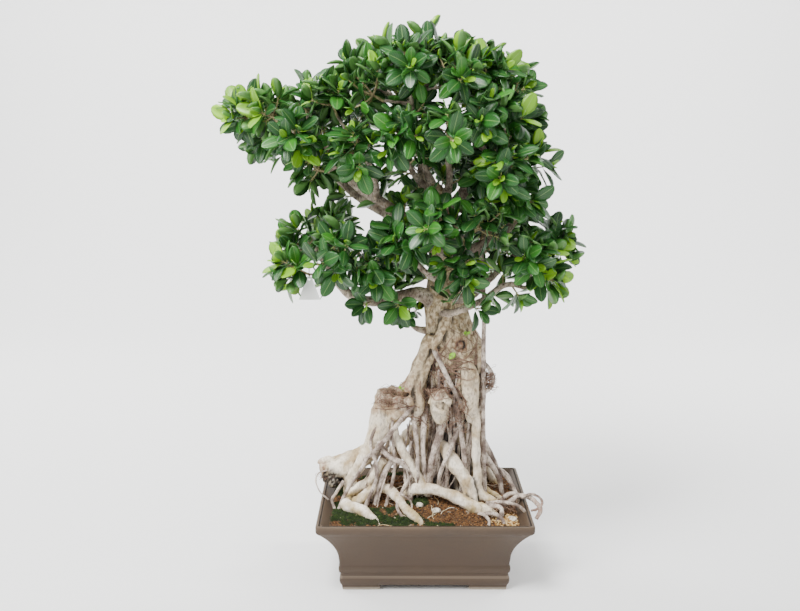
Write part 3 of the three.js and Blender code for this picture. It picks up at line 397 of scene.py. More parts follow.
# The soil
# Granular brown potting soil, mounded under the trunk and a little below the rim, with a slab's worth of
# grains that lie loose on it. It is darker and green where moss has spread at the front left.
SOIL_EDGE = 163
SOIL_MOUND = 34
MOUND_CENTRE = (20, 35)
MOUND_REACH = (215, 170)
SOIL_SETBACK = 26
SOIL_CELLS = (240, 180)
SOIL_ROUGHNESS = 1.7
SOIL_THICKNESS = 9
MOSS_PATCHES = [
    (-150, -104, 92, 44), (-62, -128, 70, 28), (-196, -60, 34, 60), (-205, 70, 36, 60), (30, -140, 50, 12),
    (-90, 140, 90, 24), (150, 120, 60, 26), (120, -70, 30, 16), (-12, -60, 30, 24),
]


def soil_height(x, y):
    along_x = max(0.0, 1 - ((x - MOUND_CENTRE[0]) / MOUND_REACH[0]) ** 2)
    along_y = max(0.0, 1 - ((y - MOUND_CENTRE[1]) / MOUND_REACH[1]) ** 2)
    return SOIL_EDGE + SOIL_MOUND * along_x * along_y


def uneven(x, y, wide, layer):
    """A noise over the soil, its lumps so many millimetres wide. Each layer has its own."""
    return noise.noise(Vector((x / wide, y / wide, layer)))


def moss_share(x, y):
    """How thick the moss is at a place on the soil, from 0 to 1."""
    deepest = max(1 - ((x - px) / rx) ** 2 - ((y - py) / ry) ** 2 for px, py, rx, ry in MOSS_PATCHES)
    return min(1.0, max(0.0, 1.6 * (deepest + 0.9 * uneven(x, y, 22, 3))))


def cushion(x, y):
    """The height of the moss in millimetres."""
    return moss_share(x, y) * (2.6 + 2.2 * uneven(x, y, 10, 5))


def places_of(mesh):
    """Every corner's place in millimetres from the pot's middle."""
    return [(vertex.co - spot(0, 0, 0)) / MM for vertex in mesh.vertices]


bpy.ops.mesh.primitive_grid_add(
    x_subdivisions=SOIL_CELLS[0], y_subdivisions=SOIL_CELLS[1], size=1, location=spot(0, 0, 0)
)
soil = bpy.context.object
soil.name = "granular_soil"
soil.scale = ((POT_WIDTH - 2 * SOIL_SETBACK) * MM, (POT_DEPTH - 2 * SOIL_SETBACK) * MM, 1)
bpy.ops.object.transform_apply(location=True, scale=True)
for vertex, (x, y, _) in zip(soil.data.vertices, places_of(soil.data)):
    lumps = uneven(x, y, 4.2, 0) + 0.8 * uneven(x, y, 19, 7)
    vertex.co.z = (soil_height(x, y) + SOIL_ROUGHNESS * lumps + cushion(x, y)) * MM
bpy.ops.object.mode_set(mode="EDIT")
bpy.ops.mesh.select_mode(type="EDGE")
bpy.ops.mesh.select_all(action="DESELECT")
bpy.ops.mesh.select_non_manifold()
bpy.ops.mesh.extrude_region_move(TRANSFORM_OT_translate={"value": (0, 0, -SOIL_THICKNESS * MM)})
bpy.ops.transform.resize(value=(0.96, 0.95, 1), center_override=spot(0, 0, 0))
bpy.ops.mesh.edge_face_add()
bpy.ops.mesh.select_all(action="SELECT")
bpy.ops.mesh.normals_make_consistent(inside=False)
leave_edit()
write_attribute(soil.data, "moss", [moss_share(x, y) for x, y, _ in places_of(soil.data)])
bpy.ops.object.shade_smooth()

# Damp potting soil: yellowish brown crumbs with near black painted shade in the gaps between them, dull,
# with a green film under the moss.
potting_soil = new_material("brown potting soil")
crumbs = add(potting_soil, "ShaderNodeTexVoronoi", {"Vector": own_place(potting_soil), "Scale": 330.0})
crumb_tone = add(potting_soil, "ShaderNodeSeparateColor", {"Color": crumbs.outputs["Color"]}).outputs["Red"]
crumb_edge = crumbs.outputs["Distance"]
# The mix by the crumbs' edges is painted shade in the gaps between them.
earth = layered(
    potting_soil, "#3E2814", (crumb_tone, "#735029"),
    (ranged(potting_soil, crumb_edge, 0.45, 0.75), "#1C120B"), (painted(potting_soil, "moss"), "#18240C"),
)
finish(potting_soil, earth, 0.93, relief(potting_soil, crumb_edge, 0.8, 1.2, invert=True))
soil.data.materials.append(potting_soil)
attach(soil, "root")
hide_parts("soil")

# The loose grains, gravel, bark chips and moss
# Crumbs of soil lie over the whole surface. A handful of tan gravel is heaped in the front right corner, bits
# of bark lie about, and the moss is a low pile of tiny leaves. Each kind is one shape, laid many times.
SOIL_GRAINS = 6400
GRAVEL_STONES = 190
BARK_CHIPS = 110
MOSS_TUFTS = 5600
GRAVEL_PATCH = (196, -118, 34, 34)
SOIL_HALF_WIDTH = 219
SOIL_HALF_DEPTH = 161
MOST_MOSS_FOR_GRAINS = 0.5
LEAST_MOSS_FOR_TUFTS = 0.35


def shape_of(piece):
    """The corners and faces of a small model, which is then taken away."""
    corners = np.array([vertex.co for vertex in piece.data.vertices])
    faces = [tuple(face.vertices) for face in piece.data.polygons]
    bpy.data.objects.remove(piece)
    return corners, faces


def laid_copies(name, shape, copies, material, tones):
    """One mesh of many copies of a shape, each with its own 3 x 3 turn and size, place and tone."""
    corners, faces = shape
    all_corners = np.concatenate([corners @ turn.T + where for turn, where in copies])
    count = len(corners)
    all_faces = [[v + count * copy for v in face] for copy in range(len(copies)) for face in faces]
    mesh = bpy.data.meshes.new(name)
    mesh.from_pydata(all_corners.tolist(), [], all_faces)
    write_attribute(mesh, "tone", np.repeat(tones, count))
    mesh.materials.append(material)
    piece = bpy.data.objects.new(name, mesh)
    bpy.context.collection.objects.link(piece)
    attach(piece, "root")
    return piece


def on_soil(luck, patch=None):
    """A chance place on the soil in millimetres, anywhere or within a patch."""
    while True:
        if patch:
            x = luck.gauss(patch[0], patch[2] / 2)
            y = luck.gauss(patch[1], patch[3] / 2)
        else:
            x = luck.uniform(-220, 220)
            y = luck.uniform(-163, 163)
        if abs(x) < SOIL_HALF_WIDTH and abs(y) < SOIL_HALF_DEPTH:
            return x, y


def tumbled(x, y, lift, size, flatness=(1, 1)):
    """A copy at a place on the soil: its chance turn with its three sizes, and where it lies."""
    where = np.array(spot(x, y, soil_height(x, y) + lift))
    size *= MM
    turn = Matrix.Rotation(luck.uniform(0, 2 * math.pi), 3, "Z")
    for axis in ("X", "Y"):
        turn = turn @ Matrix.Rotation(luck.uniform(-0.6, 0.6), 3, axis)
    return np.array(turn @ Matrix.Diagonal((size, flatness[0] * size, flatness[1] * size))), where


def ramp(material, share, stops):
    """A run of colours over a share. Each stop is a position and a colour code."""
    node = add(material, "ShaderNodeValToRGB", {"Fac": share})
    elements = node.color_ramp.elements
    for element, (position, code) in ((elements[0], stops[0]), (elements[1], stops[-1])):
        element.position = position
        element.color = linear(code)
    for position, code in stops[1:-1]:
        elements.new(position).color = linear(code)
    return node.outputs["Color"]


def ramped(name, stops, texture, bumps, roughness, attribute=None):
    """A material that runs through a ramp by its noise, or by an attribute, over a relief of that noise.

    The texture is given as scale and detail, the relief as strength and millimetres.
    """
    material = new_material(name)
    flecks = mottle(material, *texture)
    share = painted(material, attribute) if attribute else flecks
    finish(material, ramp(material, share, stops), roughness, relief(material, flecks, *bumps))
    return material


bpy.ops.mesh.primitive_ico_sphere_add(subdivisions=1, radius=1)
crumb = bpy.context.object
luck = random.Random(11)
for vertex in crumb.data.vertices:
    vertex.co *= luck.uniform(0.72, 1.2)
crumb_shape = shape_of(crumb)

# Soil crumbs: dull browns from nearly black to sandy, so that single grains can be told apart.
CRUMB_TONES = [(0, "#2E1D0E"), (0.5, "#684322"), (0.85, "#8C6338"), (1, "#B98D58")]
crumb_stuff = ramped("soil crumbs", CRUMB_TONES, (900.0, 2.0), (0.5, 0.4), 0.92, "tone")
copies, tones = [], []
while len(copies) < SOIL_GRAINS:
    x, y = on_soil(luck)
    if moss_share(x, y) > MOST_MOSS_FOR_GRAINS:
        continue
    size = 0.9 + 2.4 * luck.random() ** 2
    copies.append(tumbled(x, y, luck.uniform(0.2, 1.8), size, (0.85, 0.75)))
    tones.append(luck.betavariate(2.2, 2.6))
grains = laid_copies("soil_grains", crumb_shape, copies, crumb_stuff, tones)

# Tan aquarium gravel: sandy yellow to pale stone, smoother than the soil round it.
GRAVEL_TONES = [(0, "#8F6627"), (1, "#DDBE84")]
gravel_stuff = ramped("tan gravel", GRAVEL_TONES, (500.0, 2.0), (0.3, 0.4), 0.65, "tone")
copies, tones = [], []
while len(copies) < GRAVEL_STONES:
    x, y = on_soil(luck, GRAVEL_PATCH)
    size = luck.uniform(2.2, 4.2)
    copies.append(tumbled(x, y, luck.uniform(0.6, 2.6), size, (0.8, 0.65)))
    tones.append(luck.random())
gravel = laid_copies("tan_gravel", crumb_shape, copies, gravel_stuff, tones)

bpy.ops.mesh.primitive_cube_add(size=2)
chip = bpy.context.object
edit()
bpy.ops.mesh.bevel(offset=0.35, segments=1)
leave_edit()
chip_shape = shape_of(chip)

# Bark chips: the same greys and browns as the tree, with a rough torn grain.
CHIP_TONES = [(0, "#4A3222"), (1, "#BFAE96")]
chip_stuff = ramped("bark chips", CHIP_TONES, (600.0, 2.0), (0.7, 0.5), 0.88, "tone")
copies, tones = [], []
while len(copies) < BARK_CHIPS:
    x, y = on_soil(luck)
    size = luck.uniform(2.5, 6.5)
    copies.append(tumbled(x, y, 1.5, size, (0.42, 0.2)))
    tones.append(luck.random())
chips = laid_copies("bark_chips", chip_shape, copies, chip_stuff, tones)

bpy.ops.mesh.primitive_cone_add(vertices=3, radius1=0.28, depth=1, location=(0, 0, 0.5))
leaflet_corners, leaflet_faces = shape_of(bpy.context.object)
leaflet_corners[:, 2] += 0.5
tuft_corners, tuft_faces = [], []
for blade in range(5):
    lean = Matrix.Rotation(2.4 * blade, 3, "Z") @ Matrix.Rotation(0.25 + 0.16 * blade, 3, "X")
    first = len(tuft_corners)
    tuft_corners.extend((leaflet_corners @ np.array(lean).T).tolist())
    tuft_faces.extend([tuple(v + first for v in face) for face in leaflet_faces])

# Cushion moss: each tuft one tone from deep green to yellow-green, with darker mottles and a soft dull shine.
moss_stuff = new_material("cushion moss")
tuft_tone = ramp(moss_stuff, painted(moss_stuff, "tone"), [(0, "#101B07"), (1, "#6E8C2A")])
finish(moss_stuff, layered(moss_stuff, tuft_tone, (mottle(moss_stuff, 60.0), "#23380F")), 0.8)
copies, tones = [], []
while len(copies) < MOSS_TUFTS:
    x, y = on_soil(luck)
    thick = moss_share(x, y)
    if thick < LEAST_MOSS_FOR_TUFTS:
        continue
    size = luck.uniform(2.2, 4.6) * (0.6 + 0.5 * thick)
    copies.append(tumbled(x, y, cushion(x, y) - 0.4, size))
    tones.append(0.15 * cushion(x, y) * luck.random())
moss = laid_copies("moss_tufts", (np.array(tuft_corners), tuft_faces), copies, moss_stuff, tones)

# The three pale stones
# Rounded lumps of light limestone, half sunk in the soil at the front. They have split faces with softened
# edges and a little soil in their pits.


def cad_copy(node_name, name):
    """A copy of a CAD node with its corners merged, in edit mode with everything selected."""
    only(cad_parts[node_name])
    bpy.ops.object.duplicate()
    piece = bpy.context.object
    piece.name = name
    piece.data.materials.clear()
    edit()
    bpy.ops.mesh.remove_doubles(threshold=0.01 * MM)
    return piece


# Limestone: pale and dull, with brown soil in its pits.
LIMESTONE_TONES = [(0.3, "#7D6E58"), (0.56, "#DCD3C2")]
limestone = ramped("pale limestone", LIMESTONE_TONES, (130.0, 5.0), (0.6, 0.8), 0.8)
for number in (1, 2, 3):
    stone = cad_copy(f"stone_{number}", f"pale_stone_{number}")
    bpy.ops.mesh.tris_convert_to_quads()
    leave_edit()
    apply_modifier(stone, "BEVEL", width=1.6 * MM, segments=2)
    apply_modifier(stone, "SUBSURF", levels=1, render_levels=1)
    apply_modifier(stone, "SUBSURF", levels=2, render_levels=2, subdivision_type="SIMPLE")
    outward = [vertex.normal.copy() for vertex in stone.data.vertices]
    for vertex, way in zip(stone.data.vertices, outward):
        broken = 2.0 * noise.noise(vertex.co * 55) + 1.0 * abs(noise.noise(vertex.co * 150))
        vertex.co += way * (broken - 0.5) * MM
    bpy.ops.object.shade_smooth()
    stone.data.materials.append(limestone)
    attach(stone, "root")
    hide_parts(f"stone_{number}")

# The trunk and its thick roots
# Ficus wood: one short swollen trunk, sawn stumps where old limbs stood, and roots that were once underground
# and now stand bare. What grew together is one skin, grooved between the strands that fused into it, with
# painted shade in its grooves and hollows.
TRUNK = [
    [(62, 46, 145, 94), (68, 45, 190, 82), (80, 42, 250, 68), (83, 36, 362, 66), (79, 30, 478, 72),
     (70, 26, 554, 70), (58, 24, 611, 56), (48, 22, 665, 48), (54, 20, 750, 36), (53, 20, 814, 28),
     (50, 16, 872, 22), (36, 6, 918, 17), (20, 0, 942, 10)],
]
STUMPS = [
    [(-67, -4, 441, 44), (-72, -4, 416, 52), (-94, -6, 380, 36), (-110, -8, 340, 28),
     (-130, -6, 302, 19)],
    [(16, 14, 575, 17), (-8, 6, 522, 14), (-34, 2, 468, 15), (-66, 0, 415, 24)],
    [(33, -10, 563, 16), (0, -18, 505, 14), (-31, -18, 410, 16)],
    [(30, -40, 460, 19), (35, -42, 437, 24), (42, -30, 380, 18)],
    [(-110, 48, 285, 16), (-145, 50, 266, 26), (-180, 55, 246, 30), (-215, 58, 231, 29),
     (-241, 60, 226, 25), (-256, 60, 224, 19)],
    [(60, 70, 430, 30), (20, 95, 330, 26), (-10, 110, 240, 20), (-26, 116, 160, 18)],
    [(110, 60, 420, 26), (135, 90, 320, 20), (154, 110, 160, 16)],
]
THICK_ROOTS = [
    [(-116, -10, 330, 22), (-150, 0, 270, 16), (-176, 12, 220, 14), (-186, 22, 154, 12)],
    [(-160, 50, 248, 20), (-184, 46, 205, 17), (-186, 46, 154, 13)],
    [(54, 4, 328, 17), (62, -18, 289, 16), (88, -32, 258, 16), (110, -42, 215, 16), (118, -46, 152, 17)],
    [(-78, -18, 368, 13), (-46, -40, 300, 10), (-4, -40, 227, 10), (16, -26, 180, 9)],
    [(-176, -2, 160, 12), (-152, -34, 184, 11), (-121, -26, 205, 10), (-94, -30, 213, 10),
     (-72, -48, 205, 10), (-44, -94, 184, 9), (-15, -119, 168, 8)],
    [(-96, -20, 280, 10), (-128, -14, 228, 9), (-160, 2, 200, 9), (-188, -14, 178, 11),
     (-186, -48, 176, 12), (-150, -82, 178, 11), (-112, -108, 162, 9)],
    [(-44, -2, 165, 12), (-30, -20, 210, 11), (15, -34, 217, 11), (50, -48, 210, 12),
     (82, -62, 198, 12), (112, -76, 187, 13), (142, -82, 179, 15), (168, -86, 162, 12)],
    [(109, -20, 469, 13), (122, -30, 400, 11), (124, -34, 300, 10), (130, -34, 230, 11),
     (136, -32, 155, 11)],
    [(116, 20, 215, 14), (150, 4, 195, 10), (180, -8, 183, 8), (202, -10, 157, 7)],
    [(112, -26, 218, 12), (148, -40, 193, 10), (174, -50, 182, 9), (198, -54, 157, 8)],
    [(120, 60, 300, 13), (165, 86, 215, 10), (194, 104, 157, 9)],
    [(-20, 60, 330, 18), (-86, 84, 250, 14), (-150, 110, 155, 11)],
    [(60, 90, 300, 20), (70, 122, 200, 14), (74, 134, 157, 11)],
]
LOW_BRANCHES = [
    [(36, 14, 652, 24), (-8, -4, 684, 18), (-50, -20, 684, 14), (-110, -33, 674, 13),
     (-160, -38, 681, 12), (-198, -36, 714, 10), (-226, -32, 758, 7.5), (-252, -26, 790, 6)],
    [(-80, -24, 680, 11), (-116, 26, 705, 8), (-168, 85, 780, 5.5)],
    [(24, 30, 590, 13), (-8, 36, 590, 8), (-38, 36, 602, 5)],
    [(40, -10, 640, 13), (66, -48, 649, 8), (128, -60, 679, 7), (191, -50, 716, 6.5),
     (240, -48, 711, 4.8)],
    [(40, 0, 690, 18), (87, -24, 676, 10), (147, -5, 714, 8), (210, 20, 770, 6.5), (256, 22, 792, 5)],
    [(55, 20, 770, 24), (100, 18, 784, 11), (165, 26, 814, 9), (200, 28, 838, 9), (214, 28, 862, 10)],
    [(50, 0, 764, 15), (24, -72, 812, 6)],
    [(44, 0, 712, 15), (2, -50, 744, 7), (-30, -66, 778, 6)],
    [(52, 40, 745, 16), (0, 104, 778, 6)],
    [(62, 40, 730, 15), (146, 106, 768, 6)],
]
HIGH_BRANCHES = [
    [(50, 14, 792, 24), (8, -4, 830, 16), (-40, -18, 860, 13), (-90, -22, 897, 11.5),
     (-140, -26, 927, 10.5), (-176, -28, 960, 9), (-192, -30, 985, 8)],
    [(-184, -29, 972, 8), (-163, -50, 1028, 6), (-170, -74, 1054, 5)],
    [(-187, -30, 976, 8.5), (-207, -28, 1010, 7), (-246, -22, 1048, 6), (-270, -8, 1094, 5)],
    [(-232, -26, 1030, 6.5), (-282, -82, 1054, 5)],
    [(42, 26, 802, 20), (-20, 30, 842, 15), (-100, 38, 878, 13.5), (-159, 44, 913, 11.5),
     (-223, 50, 964, 8), (-297, 40, 998, 6.5), (-370, 8, 1048, 5)],
    [(-205, 49, 950, 9), (-236, 102, 1032, 5.5)],
    [(-108, 38, 880, 13), (-134, 74, 945, 8), (-150, 124, 1040, 5)],
    [(-110, -22, 908, 10), (-124, -96, 988, 5.5)],
    [(40, 8, 910, 14), (-6, -26, 944, 8), (-30, -58, 974, 6.5), (-46, -94, 1008, 5.5)],
    [(24, 0, 928, 11), (0, -34, 980, 7.5), (-20, -62, 1050, 6.5), (-34, -94, 1146, 5)],
    [(50, 18, 868, 17), (0, 40, 910, 11), (-6, 52, 1000, 9.5), (-2, 42, 1095, 7.5), (2, 6, 1160, 6)],
    [(-2, 42, 1095, 7.5), (-40, 20, 1126, 6), (-90, -4, 1146, 5)],
    [(-2, 42, 1095, 6.5), (-46, 38, 1150, 5)],
    [(-6, 52, 998, 9), (-40, 96, 1072, 6.5), (-80, 132, 1148, 5)],
    [(-4, 48, 1066, 8), (10, 102, 1166, 5)],
    [(44, 12, 900, 14), (54, -50, 950, 8), (46, -108, 1018, 6)],
    [(52, 16, 858, 22), (84, -6, 918, 13), (130, -20, 982, 11), (160, -24, 1030, 10),
     (171, -20, 1092, 10), (150, -16, 1124, 7), (134, -34, 1140, 5)],
    [(169, -22, 1078, 9), (186, 6, 1106, 5)],
    [(154, -16, 1112, 7), (106, 12, 1182, 5)],
    [(140, -22, 996, 9), (114, -90, 1064, 5)],
    [(156, -24, 1022, 9), (198, -42, 1054, 5)],
    [(100, -12, 940, 11), (116, 36, 1000, 8), (120, 108, 1128, 5)],
    [(138, 22, 800, 11), (166, 66, 866, 8.5), (180, 108, 955, 6.5), (192, 132, 1006, 5)],
    [(174, 94, 926, 8), (224, 52, 954, 5)],
    [(184, 116, 970, 7), (206, 114, 1030, 5)],
    [(210, 28, 852, 8), (208, -18, 878, 5)],
    [(56, 20, 872, 16), (58, 84, 910, 9), (60, 130, 940, 5)],
    [(116, -16, 962, 10), (158, -74, 966, 5)],
]
TRUNK_THINNING = 0.9
THINNED_BELOW = 470
WOOD_GRAIN = 3.25
GROOVES_END = 560
GROOVE_DEPTH = 6.5
HOLLOW_ROUNDS = 11


def drawn_limbs(name, limbs, roundness=4, smoothness=5):
    """Limbs drawn as curves through their points [x, y, z, radius], thickened point by point, made a mesh."""
    data = bpy.data.curves.new(name, "CURVE")
    data.dimensions = "3D"
    data.bevel_depth = MM
    data.bevel_resolution = roundness
    data.resolution_u = smoothness
    data.use_fill_caps = True
    for limb in limbs:
        spline = data.splines.new("BEZIER")
        spline.bezier_points.add(len(limb) - 1)
        for point, (x, y, z, radius) in zip(spline.bezier_points, limb):
            point.co = spot(x, y, z)
            point.radius = radius
            point.handle_left_type = point.handle_right_type = "AUTO"
    piece = bpy.data.objects.new(name, data)
    bpy.context.collection.objects.link(piece)
    only(piece)
    bpy.ops.object.convert(target="MESH")
    return bpy.context.object


def grown_together(piece, grain, rounds):
    """Joins all limbs of a piece into one skin, then softens the folds between them."""
    apply_modifier(piece, "REMESH", mode="VOXEL", voxel_size=grain * MM)
    apply_modifier(piece, "SMOOTH", factor=0.5, iterations=rounds)


def corners_of(mesh, what):
    values = np.empty(3 * len(mesh.vertices))
    mesh.vertices.foreach_get(what, values)
    return values.reshape(-1, 3)


def grain(x, y, z, wide, tall):
    """A noise whose lumps are so many millimetres wide and tall."""
    return noise.noise(Vector((x / wide, y / wide, z / tall)))


def swell(mesh, heights, normals):
    """Moves each corner of a mesh along its own direction by so many millimetres."""
    places = corners_of(mesh, "co") + normals * (np.asarray(heights) * MM)[:, None]
    mesh.vertices.foreach_set("co", places.ravel())
    mesh.update()


# Places where wood was cut or torn and healed reddish brown: [x, y, z, reach, strength].
WOUNDS = [
    (86, -38, 570, 17, 1.3), (-67, -20, 446, 52, 0.85), (30, -62, 462, 20, 0.8), (-110, -22, 415, 22, 0.5),
    (-60, -40, 300, 12, 0.7), (12, 40, 590, 20, 0.5), (-252, 58, 226, 30, 0.95), (165, -30, 1042, 16, 0.7),
    (274, -100, 184, 34, 1.6), (120, 60, 470, 26, 0.6), (60, 108, 470, 24, 0.6),
    (-150, -28, 690, 18, 0.4), (-84, -40, 896, 14, 0.5),
]


def wound_share(x, y, z):
    share = 0.0
    for wx, wy, wz, reach, strength in WOUNDS:
        away = math.dist((x, y, z), (wx, wy, wz)) / reach
        if away < 1.5:
            patchy = 0.5 + 0.9 * grain(x, y, z, 5, 5)
            share = max(share, strength * (1 - faded(away, 0.55, 1.4)) * patchy)
    return min(1.0, max(0.0, share))


# Lumps finer than the limbs: round the top of the left stump, beside it, behind the gap between it
# and the trunk, on the front knob, at the torn end of the sawn root at the left, and up the trunk's right.
KNOBS = [
    [(-104, -14, 424, 13), (-108, -18, 444, 8)], [(-88, -36, 424, 14), (-90, -40, 445, 9)],
    [(-62, -42, 426, 14), (-60, -46, 447, 8)], [(-38, -36, 424, 14), (-34, -40, 443, 9)],
    [(-26, -12, 426, 14), (-20, -14, 448, 10)], [(-74, 8, 430, 18), (-78, 8, 453, 11)],
    [(-100, 18, 426, 14), (-106, 20, 446, 8)], [(-46, 14, 428, 15), (-42, 18, 450, 9)],
    [(-108, -12, 396, 16), (-121, -16, 408, 9)], [(-66, -46, 402, 13), (-64, -56, 412, 7)],
    [(-30, -16, 472, 8), (-14, -24, 446, 15), (-13, -24, 414, 15), (-24, -18, 370, 9)],
    [(2, 24, 484, 16), (-4, 28, 400, 18), (-10, 28, 300, 16), (-14, 26, 165, 14)],
    [(30, -64, 424, 14), (26, -68, 414, 10)], [(54, -64, 440, 15), (56, -68, 446, 11)],
    [(40, -72, 420, 12), (42, -77, 412, 7)], [(20, -50, 430, 12), (22, -54, 448, 7)],
    [(46, -50, 432, 12), (50, -52, 452, 8)],
    [(-222, 60, 240, 17), (-250, 58, 250, 10), (-264, 58, 244, 4)], [(-214, 44, 206, 17), (-230, 38, 188, 7)],
    [(-232, 66, 222, 15), (-252, 74, 214, 6)], [(-230, 42, 224, 14), (-250, 34, 218, 5)],
    [(-240, 54, 206, 10), (-250, 52, 194, 4)], [(128, -6, 560, 16), (132, -10, 520, 17), (126, -8, 480, 12)],
    [(66, -20, 660, 10), (48, -32, 622, 10), (30, -38, 584, 9), (22, -36, 556, 7)],
    [(78, 10, 602, 9), (86, -2, 562, 22), (97, -18, 522, 27), (104, -30, 480, 27), (109, -35, 430, 20),
     (112, -28, 380, 12)],
    [(14, -22, 590, 12), (-6, -28, 540, 11), (-26, -30, 490, 11), (-40, -34, 452, 10)],
]
COLLAR_SHARE = 0.45
thinned_trunk = [
    [(x, y, z, r * (TRUNK_THINNING if z < THINNED_BELOW else 1)) for x, y, z, r in limb] for limb in TRUNK
]
all_branches = LOW_BRANCHES + HIGH_BRANCHES
collars = [[limb[0], tuple(a + COLLAR_SHARE * (b - a) for a, b in zip(*limb[:2]))] for limb in all_branches]
# Some thick roots in front stand a little further forward and are stouter than in the tables.
stout = [[(x, y - 7, z + 2, 1.2 * r) for x, y, z, r in limb] for limb in THICK_ROOTS[4:6]]
for limb, end in zip(stout, [(4, -138, 150, 3), (-86, -122, 150, 4)]):
    limb.append(end)
stout.append([(-46, -20, 158, 12), (-36, -40, 205, 12), (15, -54, 219, 13), (50, -64, 212, 14.5),
              (82, -72, 200, 15), (112, -82, 188, 15.5), (142, -88, 180, 16.5), (168, -92, 162, 12)])
leaning = [(x, y - 10, z, r) for x, y, z, r in THICK_ROOTS[2]]
leaning[1:3] = [(64, -32, 289, 18), (90, -46, 256, 18)]
thick_roots = THICK_ROOTS[:2] + [leaning] + THICK_ROOTS[3:4] + stout + THICK_ROOTS[7:]


def trunk_at(z):
    """The middle and the radius of the trunk at a height."""
    levels = thinned_trunk[0]
    for lower, upper in zip(levels, levels[1:]):
        if lower[2] <= z <= upper[2]:
            share = (z - lower[2]) / (upper[2] - lower[2])
            return [a + share * (b - a) for a, b in zip(lower, upper)]
    return list(levels[0] if z < levels[0][2] else levels[-1])


def hollow_depths(mesh, rounds):
    """How deep each corner lies in a hollow, in millimetres, against its surface smoothed so many rounds."""
    pairs = np.empty(2 * len(mesh.edges), dtype=int)
    mesh.edges.foreach_get("vertices", pairs)
    first, second = pairs.reshape(-1, 2).T
    places = corners_of(mesh, "co")
    count = len(places)
    neighbours = np.bincount(pairs, minlength=count)
    softened = places.copy()
    for _ in range(rounds):
        for axis in range(3):
            values = softened[:, axis].copy()
            total = np.bincount(first, values[second], count) + np.bincount(second, values[first], count)
            softened[:, axis] = total / neighbours
    return ((softened - places) * corners_of(mesh, "normal")).sum(1) / MM


def write_bark(piece, shaded_grooves, wounds):
    """Gives a woody piece the two attributes that its bark reads, its painted groove shade and its wounds,
    and smooth shading.
    """
    write_attribute(piece.data, "groove", shaded_grooves)
    write_attribute(piece.data, "wound", wounds)
    only(piece)
    bpy.ops.object.shade_smooth()


trunk = drawn_limbs("trunk_and_thick_roots", thinned_trunk + STUMPS + thick_roots + KNOBS + collars, 6, 6)
grown_together(trunk, WOOD_GRAIN, 6)
normals = corners_of(trunk.data, "normal")
# The groove attribute is painted shade in the grooves between the fused strands, the fine slits, the crack,
# the sunk ring round the knot and the shadowed hollow in front. It also darkens a patch at the torn root end
# at the left.
heights, shaded_grooves, wounds = [], [], []
for x, y, z in places_of(trunk.data):
    axis_x, axis_y, _, radius = trunk_at(z)
    on_trunk = 1 - faded(abs(math.hypot(x - axis_x, y - axis_y) - radius), 5, 13)
    rooted = on_trunk * (1 - faded(z, 440, GROOVES_END)) * faded(z, 190, 225)
    groove = max(0.0, 1 - 4.5 * abs(grain(x, y, z, 15, 150))) * rooted
    slit = max(0.0, 1 - 5 * abs(grain(x, y, z, 5.5, 44))) * (0.25 + 0.75 * rooted)
    flute = grain(x, y, z, 11, 80) * faded(z, 180, 260)
    knuckle = noise.noise(Vector((x / 9, y / 16, z / 9))) * (1 - faded(z, 230, 300))
    shadowed_hollow = on_trunk * (1 - faded(abs(x - 14), 56, 84)) * (1 - faded(y, -10, 24))
    shadowed_hollow *= faded(z, 180, 210) * (1 - faded(z, 390, 440))
    dark_end = 1 - faded(math.dist((x, y, z), (-236, 22, 200)), 26, 50)
    dark_end *= 0.8 + 0.7 * grain(x, y, z, 5, 5)
    crack = math.exp(-(((z - 436 - 3 * noise.noise(Vector((x / 8, 0, 0)))) / 1.7) ** 2))
    crack *= 1 - faded(math.dist((x, y, z), (34, -80, 436)), 12, 26)
    wound = wound_share(x, y, z)
    knot_away = math.dist((x, y, z), WOUNDS[0][:3]) / 13
    knot_ring = math.exp(-(((knot_away - 0.7) / 0.3) ** 2))
    height = -GROOVE_DEPTH * groove - 1.5 * slit - 4 * shadowed_hollow + 3.2 * flute + 1.8 * knuckle
    height += 3.4 * grain(x, y, z, 32, 36) + (0.5 + 0.35 * rooted) * grain(x, y, z, 3.2, 6)
    height += wound * 3.2 * grain(x, y, z, 3.4, 3.4) - 3.0 * knot_ring - 1.8 * crack
    heights.append(height)
    shaded_grooves.append(max(groove + 0.45 * slit, 0.95 * shadowed_hollow, 1.1 * dark_end, 0.75 * knot_ring, 0.6 * crack))
    wounds.append(wound)
swell(trunk.data, heights, normals)
# Every hollow of the skin gets painted shade by how deep it lies.
depths = hollow_depths(trunk.data, HOLLOW_ROUNDS)
shaded_grooves = [min(1.0, groove + 0.85 * faded(depth, 0.2, 2.0)) for groove, depth in zip(shaded_grooves, depths)]
write_bark(trunk, shaded_grooves, wounds)


